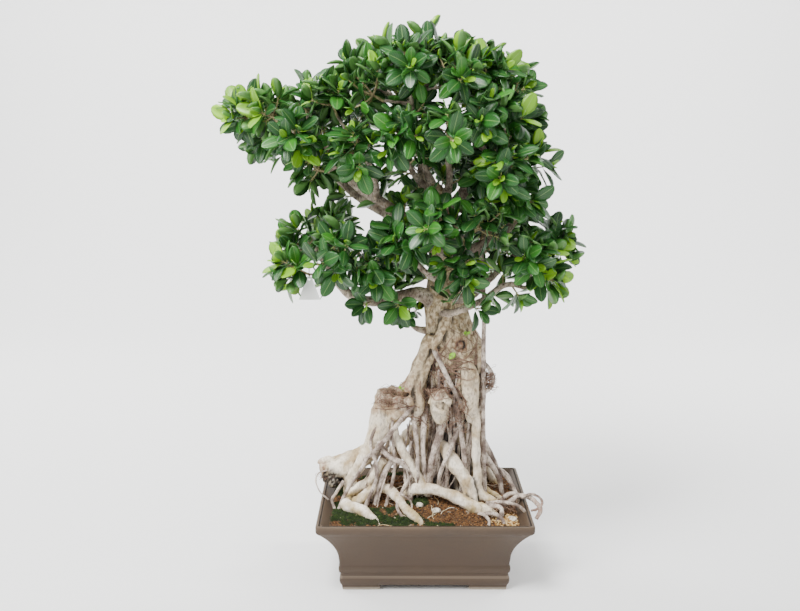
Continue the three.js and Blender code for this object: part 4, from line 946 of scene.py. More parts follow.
def bark_material(name, low, high, patch, scale, spots, aged=None):
    """Bark: two tones in soft patches, fine dark specks, near black painted shade in grooves and hollows, and
    reddish healed wounds.

    Where two aged tones are given, the bark passes over to a mottle of them in the trunk's upper part.
    """
    bark = new_material(name)
    broad = mottle(bark, patch, 5.0)
    tone = layered(bark, low, (ranged(bark, broad, 0.38, 0.62), high))
    most_spots = spots
    if aged:
        height = add(bark, "ShaderNodeSeparateXYZ", {"Vector": own_place(bark)}).outputs["Z"]
        wavy = worked(bark, "MULTIPLY_ADD", broad, 0.16, height)
        share = ranged(bark, wavy, 0.36, 0.66)
        old_tone = layered(bark, aged[0], (ranged(bark, mottle(bark, 95.0, 4.0), 0.4, 0.6), aged[1]))
        near_soil = ranged(bark, wavy, 0.29, 0.24, most=0.45)
        tone = layered(bark, tone, (share, old_tone), (near_soil, "#B9A566"))
        most_spots = ranged(bark, share, least=0.3, most=spots)
    fine = mottle(bark, scale, 3.0, (1.0, 1.0, 0.42))
    scar = layered(bark, "#3E1E14", (fine, "#A2664A"))
    speck = ranged(bark, fine, 0.5, 0.66, most=most_spots)
    tone = layered(bark, tone, (speck, "#4E3F33"), (painted(bark, "wound"), scar))
    # Painted shade: near black where the groove attribute marks grooves and hollows.
    tone = layered(bark, tone, (painted(bark, "groove"), "#1E1610"))
    finish(bark, tone, ranged(bark, fine, least=0.65, most=0.95), relief(bark, fine, 0.8, 1.6))
    return bark


# Trunk bark: smooth, pinkish cream to yellowish tan skin with faint freckles, as old exposed roots have.
trunk_bark = bark_material("cream fig bark", "#B8A27E", "#FFF4E0", 30.0, 240.0, 0.7, ("#8B7556", "#CDBA99"))
trunk.data.materials.append(trunk_bark)
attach(trunk, "root")
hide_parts("trunk_and_roots")

# The thin roots
# Aerial roots hang from the trunk and reach the soil as props, and others cross the thick roots in front,
# loop over the rim and end in the soil. They are flexible rods of pale wood, thicker towards the ground.
THIN_ROOTS = [
    [(12, 6, 575, 8), (34, -38, 534, 6), (76, -42, 449, 5), (98, -30, 410, 6)],
    [(54, -22, 395, 10), (32, -40, 337, 8), (16, -42, 270, 8), (14, -28, 185, 8)],
    [(84, -24, 365, 7), (60, -50, 310, 5), (38, -54, 255, 5), (40, -30, 180, 5)],
    [(4, -10, 412, 9), (-3, -42, 325, 6), (2, -40, 240, 6), (6, -22, 185, 6)],
    [(72, -24, 440, 8), (92, -40, 330, 6), (98, -38, 250, 6), (94, -26, 185, 6)],
    [(-26, -24, 395, 7), (-16, -54, 315, 4.5), (-14, -50, 240, 4.5), (-6, -20, 185, 6)],
    [(-120, -14, 365, 10), (-91, -40, 303, 7), (-53, -48, 281, 7), (-22, -38, 250, 7)],
    [(-20, -26, 430, 8), (-67, -56, 376, 6), (-110, -44, 318, 5.5), (-150, -4, 268, 7)],
    [(-70, -34, 292, 8), (-98, -46, 250, 6), (-122, -52, 160, 6)],
    [(132, 20, 796, 6), (139, -6, 700, 5), (140, -24, 500, 6), (141, -24, 400, 6), (145, -12, 250, 8),
     (149, -6, 155, 9)],
    [(128, -10, 530, 6), (157, -18, 503, 5), (163, -20, 470, 5), (140, -22, 446, 6)],
    [(136, 36, 325, 11), (184, 48, 235, 6), (202, 60, 157, 6)],
    [(136, 20, 295, 11), (184, 24, 222, 6), (200, 28, 155, 6)],
    [(172, -48, 172, 8), (202, -62, 188, 6), (232, -36, 194, 5.5), (250, -48, 196, 5.5),
     (266, -82, 195, 5.5), (273, -104, 186, 5.5), (262, -116, 170, 5)],
    [(140, -78, 178, 10), (163, -88, 190, 6), (182, -102, 186, 5.5), (168, -122, 158, 6)],
]
THIN_SUPPLEMENT = [
    [(-104, -30, 380, 5), (-128, -34, 330, 4), (-112, -52, 262, 4), (-140, -64, 178, 5)],
    [(-30, -42, 250, 4.5), (-54, -66, 214, 4), (-64, -96, 190, 4), (-52, -112, 172, 4)],
    [(-60, -60, 205, 3), (-48, -84, 214, 2.4), (-30, -92, 196, 2.4), (-40, -112, 172, 2.4)],
    [(150, -60, 186, 5), (196, -84, 196, 4.5), (226, -96, 190, 4), (244, -92, 168, 4)],
    [(176, -60, 178, 6), (206, -40, 200, 5), (238, -20, 184, 4.5), (222, 0, 166, 4.5)],
    [(236, -44, 194, 4), (262, -62, 208, 3.2), (280, -76, 198, 3), (268, -98, 188, 3), (254, -88, 178, 3)],
    [(140, -98, 172, 6), (156, -114, 182, 5), (176, -120, 176, 4.5), (186, -136, 164, 4)],
    [(126, -92, 172, 5), (138, -112, 178, 4), (150, -124, 170, 4), (148, -140, 162, 3)],
    [(194, 40, 226, 5), (216, 20, 206, 4.5), (226, -6, 190, 4.5), (234, -30, 168, 4.5)],
    [(160, 30, 250, 6), (196, 52, 226, 5), (220, 66, 196, 4.5), (226, 74, 164, 4.5)],
    [(-128, -20, 300, 5), (-160, -34, 246, 4.5), (-186, -34, 206, 4.5), (-206, -52, 164, 4.5)],
    [(-196, 8, 214, 5), (-214, -8, 190, 4), (-222, -34, 182, 3.5), (-214, -52, 164, 3.5)],
    [(-236, 40, 232, 2.2), (-262, 20, 226, 1.8), (-258, -6, 200, 1.8), (-232, -22, 178, 1.8)],
    [(-212, 74, 254, 3.5), (-176, 92, 262, 3), (-140, 80, 246, 3), (-120, 60, 210, 3)],
    [(10, 120, 260, 8), (32, 142, 214, 6), (24, 158, 164, 6)],
    [(-60, 104, 262, 7), (-62, 140, 210, 6), (-84, 158, 162, 6)],
    [(150, 96, 262, 8), (176, 124, 208, 6), (168, 150, 162, 6)],
    [(96, 112, 350, 7), (110, 128, 270, 5.5), (104, 138, 164, 6)],
    [(34, 98, 380, 7), (26, 116, 280, 5.5), (40, 124, 164, 6)],
]
STRANDS = 84
STRAND_STEPS = 6
GAP_STRANDS = 20
strands = []
luck = random.Random(23)
for number in range(STRANDS):
    turn = 2 * math.pi * number / STRANDS + luck.uniform(-0.04, 0.04)
    facing = math.cos(turn + math.pi / 2 - 0.35)
    top = luck.uniform(250, 520)
    foot = 182 if facing > 0.5 else 166
    if facing > 0.3 and luck.random() < 0.5:
        continue
    thickness = luck.choice((1.6, 2.2, 2.2, 3.0, 3.6, 4.6, 6.0))
    drift = luck.uniform(-0.4, 0.4)
    spread = luck.uniform(1.0, 1.03 if facing > 0.3 else 1.12)
    phase = luck.uniform(0, 6.28)
    points = []
    for step in range(STRAND_STEPS + 1):
        share = step / STRAND_STEPS
        z = top + (foot - top) * share
        x, y, _, radius = trunk_at(z)
        sway = turn + drift * share + 0.07 * math.sin(8 * share + phase)
        out = radius + (0.6 * thickness if 0 < step else -2)
        out *= 1 + (spread - 1) * share
        growth = thickness * (0.75 + 0.5 * share)
        points.append((x + out * math.cos(sway), y + out * math.sin(sway), z, growth))
    strands.append(points)
# More of them hang in the gap to the left of the trunk, below the stump.
for number in range(GAP_STRANDS):
    turn = luck.uniform(0, 2 * math.pi)
    top = luck.uniform(330, 400)
    thickness = luck.choice((1.2, 1.8, 2.6, 4.2))
    hang_x, hang_y = -62 + 40 * math.cos(turn), -6 + 34 * math.sin(turn)
    points = []
    for step in range(STRAND_STEPS + 1):
        share = step / STRAND_STEPS
        z = top + (168 - top) * share
        x = hang_x + (0.75 * (hang_x + 40)) * share + 8 * math.sin(6 * share + number)
        y = hang_y + (0.5 * hang_y) * share + 7 * math.cos(6 * share + 2 * number)
        points.append((x, y, z, thickness * (0.8 + 0.4 * share)))
    strands.append(points)
thin_roots = drawn_limbs("thin_roots", THIN_ROOTS + THIN_SUPPLEMENT, 3, 7)
fine_strands = drawn_limbs("root_strands", strands, 2, 4)
for piece, unevenness in ((thin_roots, 0.9), (fine_strands, 0.7)):
    normals = corners_of(piece.data, "normal")
    heights = [unevenness * noise.noise(vertex.co * 95) for vertex in piece.data.vertices]
    swell(piece.data, heights, normals)
    places = places_of(piece.data)
    # Painted groove shade in streaks along the roots, though no grooves are cut there.
    shaded_grooves = [0.25 * max(0.0, grain(x, y, z, 9, 30)) for x, y, z in places]
    write_bark(piece, shaded_grooves, [0.6 * wound_share(x, y, z) for x, y, z in places])

# Root bark: pinkish grey and a little rougher than the trunk.
root_bark = bark_material("pinkish root bark", "#76655B", "#DCCDBE", 42.0, 380.0, 0.75)
for piece in (thin_roots, fine_strands):
    piece.data.materials.append(root_bark)
    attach(piece, "root")
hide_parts("trunk_and_roots")

# The hair roots
# Dark wiry roots, a millimetre thick, that grew in moist air. They wind round the upper trunk, lie across the
# knots, and mat together into brown tufts on the sawn stumps and at the right of the trunk.
HAIRS = 100
HAIR_STEPS = 7
TUFT_STEPS = 5
TUFTS = [
    ((-74, -40, 430), (42, 16, 14), 120), ((-70, -2, 446), (38, 30, 6), 80),
    ((34, -46, 456), (24, 14, 12), 90), ((152, -18, 478), (14, 12, 24), 100),
    ((-4, -18, 410), (15, 16, 60), 110), ((176, -80, 184), (44, 26, 12), 50),
    ((-236, 50, 214), (12, 16, 14), 40), ((76, -52, 400), (36, 10, 44), 60),
    ((112, 66, 452), (24, 24, 14), 54), ((58, 92, 456), (26, 22, 14), 60),
]
# The longest of them, as [x, z] points seen from the front; each is laid on whatever bark lies behind it.
WIRES = [
    [(51, 512), (93, 528), (133, 540)], [(56, 506), (93, 518), (131, 510)],
    [(75, 538), (102, 532), (133, 522)], [(111, 614), (125, 590), (121, 557), (102, 537)],
    [(-9, 481), (-11, 457), (1, 437), (10, 413)], [(9, 461), (24, 444), (58, 450), (84, 428)],
    [(77, 466), (98, 437), (92, 408), (74, 369)], [(-116, 415), (-74, 419), (-27, 424), (-6, 416)],
    [(-46, 398), (-9, 387), (12, 366)], [(-18, 300), (6, 285), (14, 255), (10, 235)],
    [(-34, 340), (-23, 305), (-18, 283)], [(38, 481), (65, 495), (102, 489), (126, 495)],
    [(28, 562), (41, 533), (28, 505), (35, 476)], [(-107, 437), (-83, 428), (-58, 434), (-23, 418)],
    [(62, 481), (87, 452), (103, 418), (99, 389)], [(28, 490), (56, 502), (79, 512), (116, 514)],
]
hairs = []
for number in range(HAIRS):
    in_front = number % 5 < 3
    level = luck.uniform(410, 570) if in_front else luck.uniform(300, 600)
    start = luck.uniform(-2.6, -0.3) if in_front else luck.uniform(0, 2 * math.pi)
    sweep = luck.uniform(0.4, 1.9) * luck.choice((-1, 1))
    climb = luck.uniform(-110, 110)
    thickness = luck.choice((0.5, 0.6, 0.8, 1.0, 1.5))
    points = []
    for step in range(HAIR_STEPS + 1):
        share = step / HAIR_STEPS
        z = level + climb * (share - 0.5) + 5 * math.sin(8 * share + number)
        x, y, _, radius = trunk_at(z)
        out = radius + 2.2 + 1.6 * math.sin(11 * share + 2 * number)
        turn = start + sweep * share
        points.append((x + out * math.cos(turn), y + out * math.sin(turn), z, thickness))
    hairs.append(points)
for middle, reach, count in TUFTS:
    for _ in range(count):
        x, y, z = (m + r * luck.uniform(-0.9, 0.9) for m, r in zip(middle, reach))
        heading = Vector((luck.gauss(0, 1), luck.gauss(0, 1), luck.gauss(0, 0.5))).normalized()
        stride = luck.uniform(5, 11)
        thickness = luck.uniform(0.45, 1.0)
        points = []
        for step in range(TUFT_STEPS):
            points.append((x, y, z, thickness * (1 - 0.12 * step)))
            bend = Vector((luck.gauss(0, 0.55), luck.gauss(0, 0.55), luck.gauss(0, 0.4)))
            heading = (heading + bend).normalized()
            inward = Vector([(m - place) / r for m, place, r in zip(middle, (x, y, z), reach)])
            heading = (heading + 0.35 * inward).normalized()
            x, y, z = x + stride * heading.x, y + stride * heading.y, z + stride * heading.z
        hairs.append(points)
bpy.context.view_layer.update()
for wire in WIRES:
    points = []
    for (x, z), (next_x, next_z) in zip(wire, wire[1:]):
        for share in (0, 0.25, 0.5, 0.75):
            points.append((x + share * (next_x - x), z + share * (next_z - z)))
    depths = []
    for x, z in points:
        hit, where, _, _ = trunk.ray_cast(spot(x, -400, z), Vector((0, 1, 0)), distance=380 * MM)
        depths.append((where - spot(0, 0, 0)).y / MM - 1.5 if hit else (depths[-1] if depths else -30.0))
    depths = [min(depths[max(0, i - 1):i + 2]) for i in range(len(depths))]
    hairs.append([(x, y, z, 1.35 - 0.05 * i) for i, ((x, z), y) in enumerate(zip(points, depths))])
hair_roots = drawn_limbs("hair_roots", hairs, 0, 4)
tones = [0.5 + 0.5 * noise.noise(vertex.co * 60) for vertex in hair_roots.data.vertices]
write_attribute(hair_roots.data, "tone", tones)
bpy.ops.object.shade_smooth()

# Wiry root skin: dark reddish brown to tan, with fine flecks and a slight dry sheen.
WIRY_TONES = [(0.25, "#4A3024"), (0.8, "#9C7E68")]
wiry = ramped("wiry brown roots", WIRY_TONES, (700.0, 2.0), (0.4, 0.2), 0.7, "tone")
hair_roots.data.materials.append(wiry)
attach(hair_roots, "root")

# Thin white rootlets that creep over the soil between the thick roots.
ROOTLETS = 46
ROOTLET_STEPS = 6
ROOTLET_STRIDE = 11
rootlets = []
for _ in range(ROOTLETS):
    x, y = on_soil(luck)
    turn = luck.uniform(0, 2 * math.pi)
    points = []
    for step in range(ROOTLET_STEPS):
        lift = 2.2 if 0 < step < ROOTLET_STEPS - 1 else -1.5
        points.append((x, y, soil_height(x, y) + lift, luck.uniform(0.6, 1.1)))
        turn += luck.uniform(-0.8, 0.8)
        x = min(216, max(-216, x + ROOTLET_STRIDE * math.cos(turn)))
        y = min(158, max(-158, y + ROOTLET_STRIDE * math.sin(turn)))
    rootlets.append(points)
rootlet_piece = drawn_limbs("soil_rootlets", rootlets, 0, 4)
plain = [0.0] * len(rootlet_piece.data.vertices)
write_bark(rootlet_piece, plain, plain)
rootlet_piece.data.materials.append(trunk_bark)
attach(rootlet_piece, "root")

# The branches
# Every branch end grows on into the stem of a leafy spray, and where no end is near, a twig of wood runs to
# the spray from the nearest branch. Rough grey-brown bark, with rings where old leaves fell.

# The hubs of the sprays by group, numbered within it from 1: [x, y, z, size].
SPRAYS = {
    "arm": [
        (-405, -20, 1094, 0.6), (-339, -78, 1096, 0.6), (-372, 62, 1055, 0.6), (-288, -112, 1045, 0.8),
        (-274, 24, 1114, 0.65), (-204, -86, 1119, 0.8), (-242, 130, 1070, 1), (-245, -20, 975, 0.6),
    ],
    "crown": [
        (-136, -10, 1176, 0.7), (-116, -110, 1140, 1), (-70, 44, 1188, 1), (4, -40, 1204, 1),
        (86, 26, 1204, 0.9), (-34, -128, 1190, 1), (56, -130, 1170, 1), (128, -58, 1178, 0.85),
        (204, 22, 1148, 0.7), (-104, 158, 1189, 0.95), (14, 136, 1204, 1), (120, 136, 1172, 0.9),
    ],
    "middle": [
        (-142, -132, 1020, 1), (-52, -150, 1050, 1), (44, -160, 1062, 1), (124, -128, 1090, 1),
        (186, -64, 1074, 0.8), (241, 26, 980, 0.7), (168, -112, 980, 0.95), (-160, 152, 1078, 1),
        (70, 150, 971, 0.9), (182, 148, 1030, 0.9), (222, 120, 1068, 0.7), (204, -56, 910, 0.65),
    ],
    "low_left": [
        (-280, -16, 795, 0.7), (-244, 58, 824, 0.65), (-285, -70, 752, 0.65), (-196, -104, 782, 1),
        (-217, 120, 817, 0.65), (-112, -66, 746, 1), (-36, 36, 628, 0.55),
    ],
    "low_middle": [
        (-49, -96, 813, 0.85), (26, -124, 852, 1), (116, -110, 850, 1), (66, -104, 762, 0.9),
        (-18, 136, 760, 0.75), (172, 132, 788, 1),
    ],
    "low_right": [
        (292, 26, 797, 0.7), (237, -72, 775, 0.75), (260, -48, 732, 0.6),
    ],
}
STEM_LENGTH = 24
STEM_RADIUS = 3.2
REACH_OF_AN_END = 82
SHORTEST_GROWTH = 12
TWIG_SHARE = 0.8
TWIG_RADIUS = 4.5
RISE = 0.35
UP = Vector((0, 0, 1))
CARD_TWIG = [(-226, -34, 756, 6), (-240, -70, 764, 3.4), (-288, -78, 771, 2.4)]
BRANCH_GRAIN = 2.4
Spray = namedtuple("Spray", "name number hub size joint rising")


def spans_of(limbs):
    """The straight spans of limbs as arrays: starts, ends, and the radius at each."""
    starts = np.array([a for limb in limbs for a in limb[:-1]], dtype=float)
    stops = np.array([b for limb in limbs for b in limb[1:]], dtype=float)
    return starts[:, :3], stops[:, :3], starts[:, 3], stops[:, 3]


def nearest_wood(hub):
    """The place on a branch, at a quarter of a span, that is nearest to a spray and preferably below it."""
    best = None
    for limb in all_branches:
        for start, stop in zip(limb, limb[1:]):
            for share in (0, 0.25, 0.5, 0.75, 1):
                x, y, z, radius = (a + share * (b - a) for a, b in zip(start, stop))
                cost = math.dist((x, y, z), hub) + max(0, z - hub.z + 20)
                if best is None or cost < best[0]:
                    best = (cost, Vector((x, y, z)), radius)
    return best[1], best[2]


branches = [[tuple(point) for point in limb] for limb in all_branches]
free_ends = [(Vector(limb[-1][:3]), limb) for limb in branches]
sprays = []
for group, hubs_of_group in SPRAYS.items():
    for place_in_group, (x, y, z, size) in enumerate(hubs_of_group, 1):
        hub = Vector((x, y, z))
        near = [end for end in free_ends if (end[0] - hub).length < REACH_OF_AN_END]
        if near:
            end = min(near, key=lambda one: (one[0] - hub).length)
            start, limb = end
        else:
            start, radius = nearest_wood(hub)
        rising = ((hub - start).normalized() + RISE * UP).normalized()
        joint = hub - STEM_LENGTH * rising
        joint_point = (*joint, STEM_RADIUS)
        if not near:
            branches.append([(*start, min(TWIG_SHARE * radius, TWIG_RADIUS)), joint_point])
        else:
            free_ends.remove(end)
            if (start - joint).length > SHORTEST_GROWTH:
                limb.append(joint_point)
            else:
                limb[-1] = joint_point
        sprays.append(Spray(f"{group}_{place_in_group}", len(sprays), hub, size, joint, rising))

branch_piece = drawn_limbs("branches", branches + [CARD_TWIG], 4, 6)
grown_together(branch_piece, BRANCH_GRAIN, 3)
normals = corners_of(branch_piece.data, "normal")
heights, shaded_grooves, wounds = [], [], []
for x, y, z in places_of(branch_piece.data):
    ring = grain(x, y, z, 7, 7)
    heights.append(1.9 * max(0.0, grain(x, y, z, 24, 24)) + 0.8 * ring + 0.35 * grain(x, y, z, 3, 3))
    # Painted shade where the rings sink.
    shaded_grooves.append(0.5 * max(0.0, -1.8 * ring))
    wounds.append(min(1.0, wound_share(x, y, z) + 0.5 * max(0.0, grain(x, y, z, 40, 40) - 0.25)))
swell(branch_piece.data, heights, normals)
write_bark(branch_piece, shaded_grooves, wounds)

# Branch bark: grey-brown and coarser than the trunk, with darker reddish patches where it has split and
# painted shade in its sunken rings.
branch_bark = bark_material("grey-brown branch bark", "#7A6B5C", "#CABBA8", 34.0, 330.0, 0.75)
branch_piece.data.materials.append(branch_bark)
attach(branch_piece, "root")
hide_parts("trunk_and_roots")

# The leafy sprays
# A spray is a fork of green-brown shoots with leathery, glossy leaves in whorls round their ends. Each leaf
# has a short pale stalk, a raised midrib and a blunt tip, and the youngest, at the tips, are yellow-green.
LEAF_LENGTH = 62
LEAF_WIDTH = 31
SIDE_TILT = 60
SIDE_TILT_RANGE = 20
SHOOT_REACH = 42
SHOOT_REACH_RANGE = 26
LEAST_REACH = 20
BUD_LENGTH = 9
SHOOT_RADIUS = 2.2
WORD = 0xFFFFFFFF
# More shoots stand between the first three: [tilt in degrees, turn in degrees, share of the reach].
MORE_SHOOTS = [(62, 300, 0.9), (34, 122, 0.82), (88, 96, 0.8), (92, 214, 0.78)]
# Whorls of leaves: share of the shoot, opening, turn after the first leaf, leaves, least size, most size.
WHORLS = [
    (1.0, 44, 60, 3, 0.88, 1.08), (0.84, 68, 0, 3, 0.8, 1.06), (1.04, 17, 20, 2, 0.42, 0.68),
    (0.5, 74, 60, 3, 0.78, 1.02),
]
BUD_WHORL = 2
LOWEST_WHORL = 3
LEAST_REACH_OF_LOWEST = 34
# What is tried in turn where a leaf would meet something: [degrees opened further, share of the length].
LEAF_TRIES = [(0, 1), (14, 1), (-14, 0.95), (24, 0.8)]
YOUNG_SHARE = 0.08
SMALL_SPRAY = 0.6
SMALL_LEAF_SHARE = 0.7
# The room that each keeps: a shoot's tip from wood and inside its cell, a leaf's tip and low part from wood,
# its ribs from others and its blade past its cell, in millimetres. The middle's is a share of its length.
SHOOT_ROOM, SHOOT_INSIDE, SHOOT_STEP = 6, 5, 6
TIP_ROOM, LOW_ROOM, RIB_ROOM, CELL_OVERLAP = 4, 5, 5.5, 3
MIDDLE_ROOM = 0.26
BLADE_HALF = 0.22
CARD_ROOM = [(-264, -74, 767.5, 6.4), (-264, -74, 738, 5), (-264, -74, 684, 25)]
Shoot = namedtuple("Shoot", "k heading right up edge reach")
Leaf = namedtuple("Leaf", "base out upper length youth")


def draw(*keys):
    """A fixed draw between 0 and 1 for each set of whole numbers, the same on every run."""
    state = 0x9E3779B9
    for key in keys:
        state = ((state ^ ((key + 0x7F4A7C15) & WORD)) * 0x85EBCA6B) & WORD
        state = ((state ^ (state >> 13)) * 0xC2B2AE35) & WORD
        state = state ^ (state >> 16)
    return state / 4294967296


def squared(way, to):
    """The part of a direction that stands square to another, one unit long."""
    return (way - to * to.dot(way)).normalized()


def across_of(way):
    """Two directions square to a third and to each other."""
    side = squared(Vector((0, 1, 0)) if abs(way.x) > 0.8 else Vector((1, 0, 0)), way)
    return side, way.cross(side)


wood = branches + [CARD_TWIG] + TRUNK + THIN_ROOTS + [CARD_ROOM]
wood_starts, wood_stops, wood_first, wood_last = spans_of(wood)
wood_ways = wood_stops - wood_starts
wood_squares = (wood_ways**2).sum(1)
hubs = np.array([spray.hub for spray in sprays])


def clearance(point):
    """The distance in millimetres from a place to the nearest bark."""
    shares = np.clip(((np.array(point) - wood_starts) * wood_ways).sum(1) / wood_squares, 0, 1)
    near = wood_starts + wood_ways * shares[:, None]
    radii = wood_first + (wood_last - wood_first) * shares
    return (np.linalg.norm(np.array(point) - near, axis=1) - radii).min()


def beyond_cell(points, number):
    """How far the furthest of these places reaches past the middle towards another spray, in millimetres."""
    ways = np.delete(hubs, number, 0) - hubs[number]
    apart = np.linalg.norm(ways, axis=1)
    return (((np.array(points) - hubs[number]) @ ways.T) / apart - apart / 2).max()


def shoots_of(spray):
    """A spray's shoots, drawn in until each tip is free of the next sprays and of wood."""
    number, hub, rising = spray.number, spray.hub, spray.rising
    level, upright = across_of(rising)
    spin = 2 * math.pi * draw(number, 1)
    side = level * math.cos(spin) + upright * math.sin(spin)
    other = rising.cross(side)
    shoots = []
    for k in range(3 + len(MORE_SHOOTS)):
        share = 1.0
        if k == 0:
            tilt, turn = 0.0, 0.0
        elif k < 3:
            tilt = math.radians(SIDE_TILT + SIDE_TILT_RANGE * (draw(number, k, 5) - 0.5))
            turn = (2 * k - 1) * math.pi / 3
        else:
            tilt_degrees, turn_degrees, share = MORE_SHOOTS[k - 3]
            tilt = math.radians(tilt_degrees + 24 * (draw(number, k, 5) - 0.5))
            turn = math.radians(turn_degrees + 30 * (draw(number, k, 6) - 0.5))
        heading = rising * math.cos(tilt) + side * math.sin(tilt) * math.cos(turn)
        heading = (heading + other * math.sin(tilt) * math.sin(turn)).normalized()
        reach = spray.size * share * (SHOOT_REACH + SHOOT_REACH_RANGE * draw(number, k, 2))
        while reach > LEAST_REACH:
            tip = hub + heading * (reach + BUD_LENGTH)
            if beyond_cell([tip], number) <= -SHOOT_INSIDE and clearance(tip) > SHOOT_ROOM:
                break
            reach -= SHOOT_STEP
        up = other if k == 0 else squared(rising, heading)
        right = side if k == 0 else up.cross(heading)
        shoots.append(Shoot(k, heading, right, up, 0.0 if k == 0 else 7 * math.pi / 6, reach))
    return shoots


def rib_gap(start, stop, starts, stops):
    """The least distance from one straight rib to any of several."""
    if not starts:
        return math.inf
    start, stop, starts, stops = (np.array(one) for one in (start, stop, starts, stops))
    shares = np.linspace(0, 1, 6)[:, None, None]
    mine = start + (stop - start) * shares[:, 0]
    ways = stops - starts
    along = ((mine[:, None] - starts) * ways).sum(2) / (ways**2).sum(1)
    near = starts + ways * np.clip(along, 0, 1)[..., None]
    return np.linalg.norm(mine[:, None] - near, axis=2).min()


def places_along(base, out, length):
    """Three places along a leaf's rib: low on the blade, its widest part and its tip."""
    return [base + out * (length * share) for share in (0.35, 0.6, 1.0)]


def leaves_of(spray, shoots):
    """Every leaf of a spray. One that would meet wood or another leaf is turned, made shorter or left out."""
    number = spray.number
    full_length = LEAF_LENGTH * (SMALL_LEAF_SHARE if spray.size < SMALL_SPRAY else 1)
    leaves, starts, stops = [], [], []
    for whorl, (along, open_degrees, phase, count, least, most) in enumerate(WHORLS):
        for k, heading, right, up, edge, reach in shoots:
            if whorl == LOWEST_WHORL and reach < LEAST_REACH_OF_LOWEST:
                continue
            for face in range(count):
                luck_size, luck_open, luck_turn = (draw(number, k, whorl, face, key) for key in (4, 3, 7))
                length = full_length * (least + (most - least) * luck_size)
                turn = edge + math.radians(phase) + face * 2 * math.pi / count
                turn += 0 if whorl == 0 and k < 3 else 0.7 * (luck_turn - 0.5)
                base = spray.hub + heading * (reach * along - 1.6)
                for wider, shorter in LEAF_TRIES:
                    opening = math.radians(open_degrees + wider + 20 * (luck_open - 0.5))
                    out = heading * math.cos(opening) + right * math.sin(opening) * math.cos(turn)
                    out = (out + up * math.sin(opening) * math.sin(turn)).normalized()
                    upper = squared(heading + 0.3 * UP, out)
                    long = shorter * length
                    low, middle, tip = places_along(base, out, long)
                    half = upper.cross(out) * (BLADE_HALF * long)
                    if beyond_cell([tip, middle + half, middle - half], number) > CELL_OVERLAP:
                        continue
                    if clearance(middle) < MIDDLE_ROOM * long or clearance(tip) < TIP_ROOM:
                        continue
                    if clearance(low) < LOW_ROOM or rib_gap(low, tip, starts, stops) < RIB_ROOM:
                        continue
                    outer = faded(math.hypot(tip.x / 380, (tip.z - 960) / 300), 0.85, 1.15)
                    youth = 0.0
                    if whorl == BUD_WHORL:
                        youth = (0.35 + 0.3 * outer) * (1 + draw(number, k, face, 9))
                    elif draw(number, k, 10) < YOUNG_SHARE + 0.35 * outer and whorl == 0:
                        youth = 0.4 + 0.4 * draw(number, k, face, 9)
                    leaves.append(Leaf(base, out, upper, long, youth))
                    starts.append(low)
                    stops.append(tip)
                    break
    return leaves


# One leaf, modelled once: [share of length, share of half width] at each station from the stalk to the tip.
STATIONS = [(0.17, 0.2), (0.3, 0.62), (0.47, 0.95), (0.66, 1.0), (0.83, 0.8), (0.95, 0.42)]
ACROSS = (-1, -0.52, 0, 0.52, 1)
STALK_SHARE = 0.13
STALK_TURNS = (0, 2.1, 4.2)
# The leaf's map goes from 0 to 1 across the blade's upper side, past 1 below it, and past 2 on the stalk.
BELOW_MAP, STALK_MAP = 1.5, 2.5
leaf_points, leaf_faces, leaf_uvs = [], [], []


def leaf_point(along, sideways, lift, u, v):
    leaf_points.append((along, sideways, lift))
    leaf_uvs.append((u, v))
    return len(leaf_points) - 1


heel = leaf_point(STALK_SHARE, 0, -0.006, 0.5, 0.0)
rows = []
for along, half in STATIONS:
    row = []
    for s in ACROSS:
        row.append(leaf_point(along, s * half, 0.02 * (1 - abs(abs(s) - 0.5)) * half, 0.5 + 0.5 * s, along))
    rows.append(row)
tip_point = leaf_point(1.0, 0, 0, 0.5, 1.0)
under = [leaf_point(along, 0, -0.03, BELOW_MAP, along) for along, half in STATIONS]
for column in range(4):
    leaf_faces.append((heel, rows[0][column + 1], rows[0][column]))
    for low, high in zip(rows, rows[1:]):
        leaf_faces.append((low[column], low[column + 1], high[column + 1], high[column]))
    leaf_faces.append((rows[-1][column], rows[-1][column + 1], tip_point))
leaf_faces.append((heel, rows[0][0], under[0]))
leaf_faces.append((heel, under[0], rows[0][4]))
for (low, high), (low_rib, high_rib) in zip(zip(rows, rows[1:]), zip(under, under[1:])):
    leaf_faces.append((low[0], high[0], high_rib, low_rib))
    leaf_faces.append((low_rib, high_rib, high[4], low[4]))
leaf_faces.append((rows[-1][0], tip_point, under[-1]))
leaf_faces.append((under[-1], tip_point, rows[-1][4]))
near_ring = [leaf_point(0.0, 0.07 * math.cos(a), 0.018 * math.sin(a), STALK_MAP, 0) for a in STALK_TURNS]
far_ring = []
for a in STALK_TURNS:
    lift = 0.014 * math.sin(a) - 0.012
    far_ring.append(leaf_point(STALK_SHARE + 0.05, 0.05 * math.cos(a), lift, STALK_MAP, 0))
for side in range(3):
    beside = (side + 1) % 3
    leaf_faces.append((near_ring[side], far_ring[side], far_ring[beside], near_ring[beside]))
leaf_faces.append(tuple(near_ring))
leaf_faces.append((far_ring[0], far_ring[2], far_ring[1]))
leaf_template = np.array(leaf_points)
leaf_map = np.array([leaf_uvs[v] for face in leaf_faces for v in face])


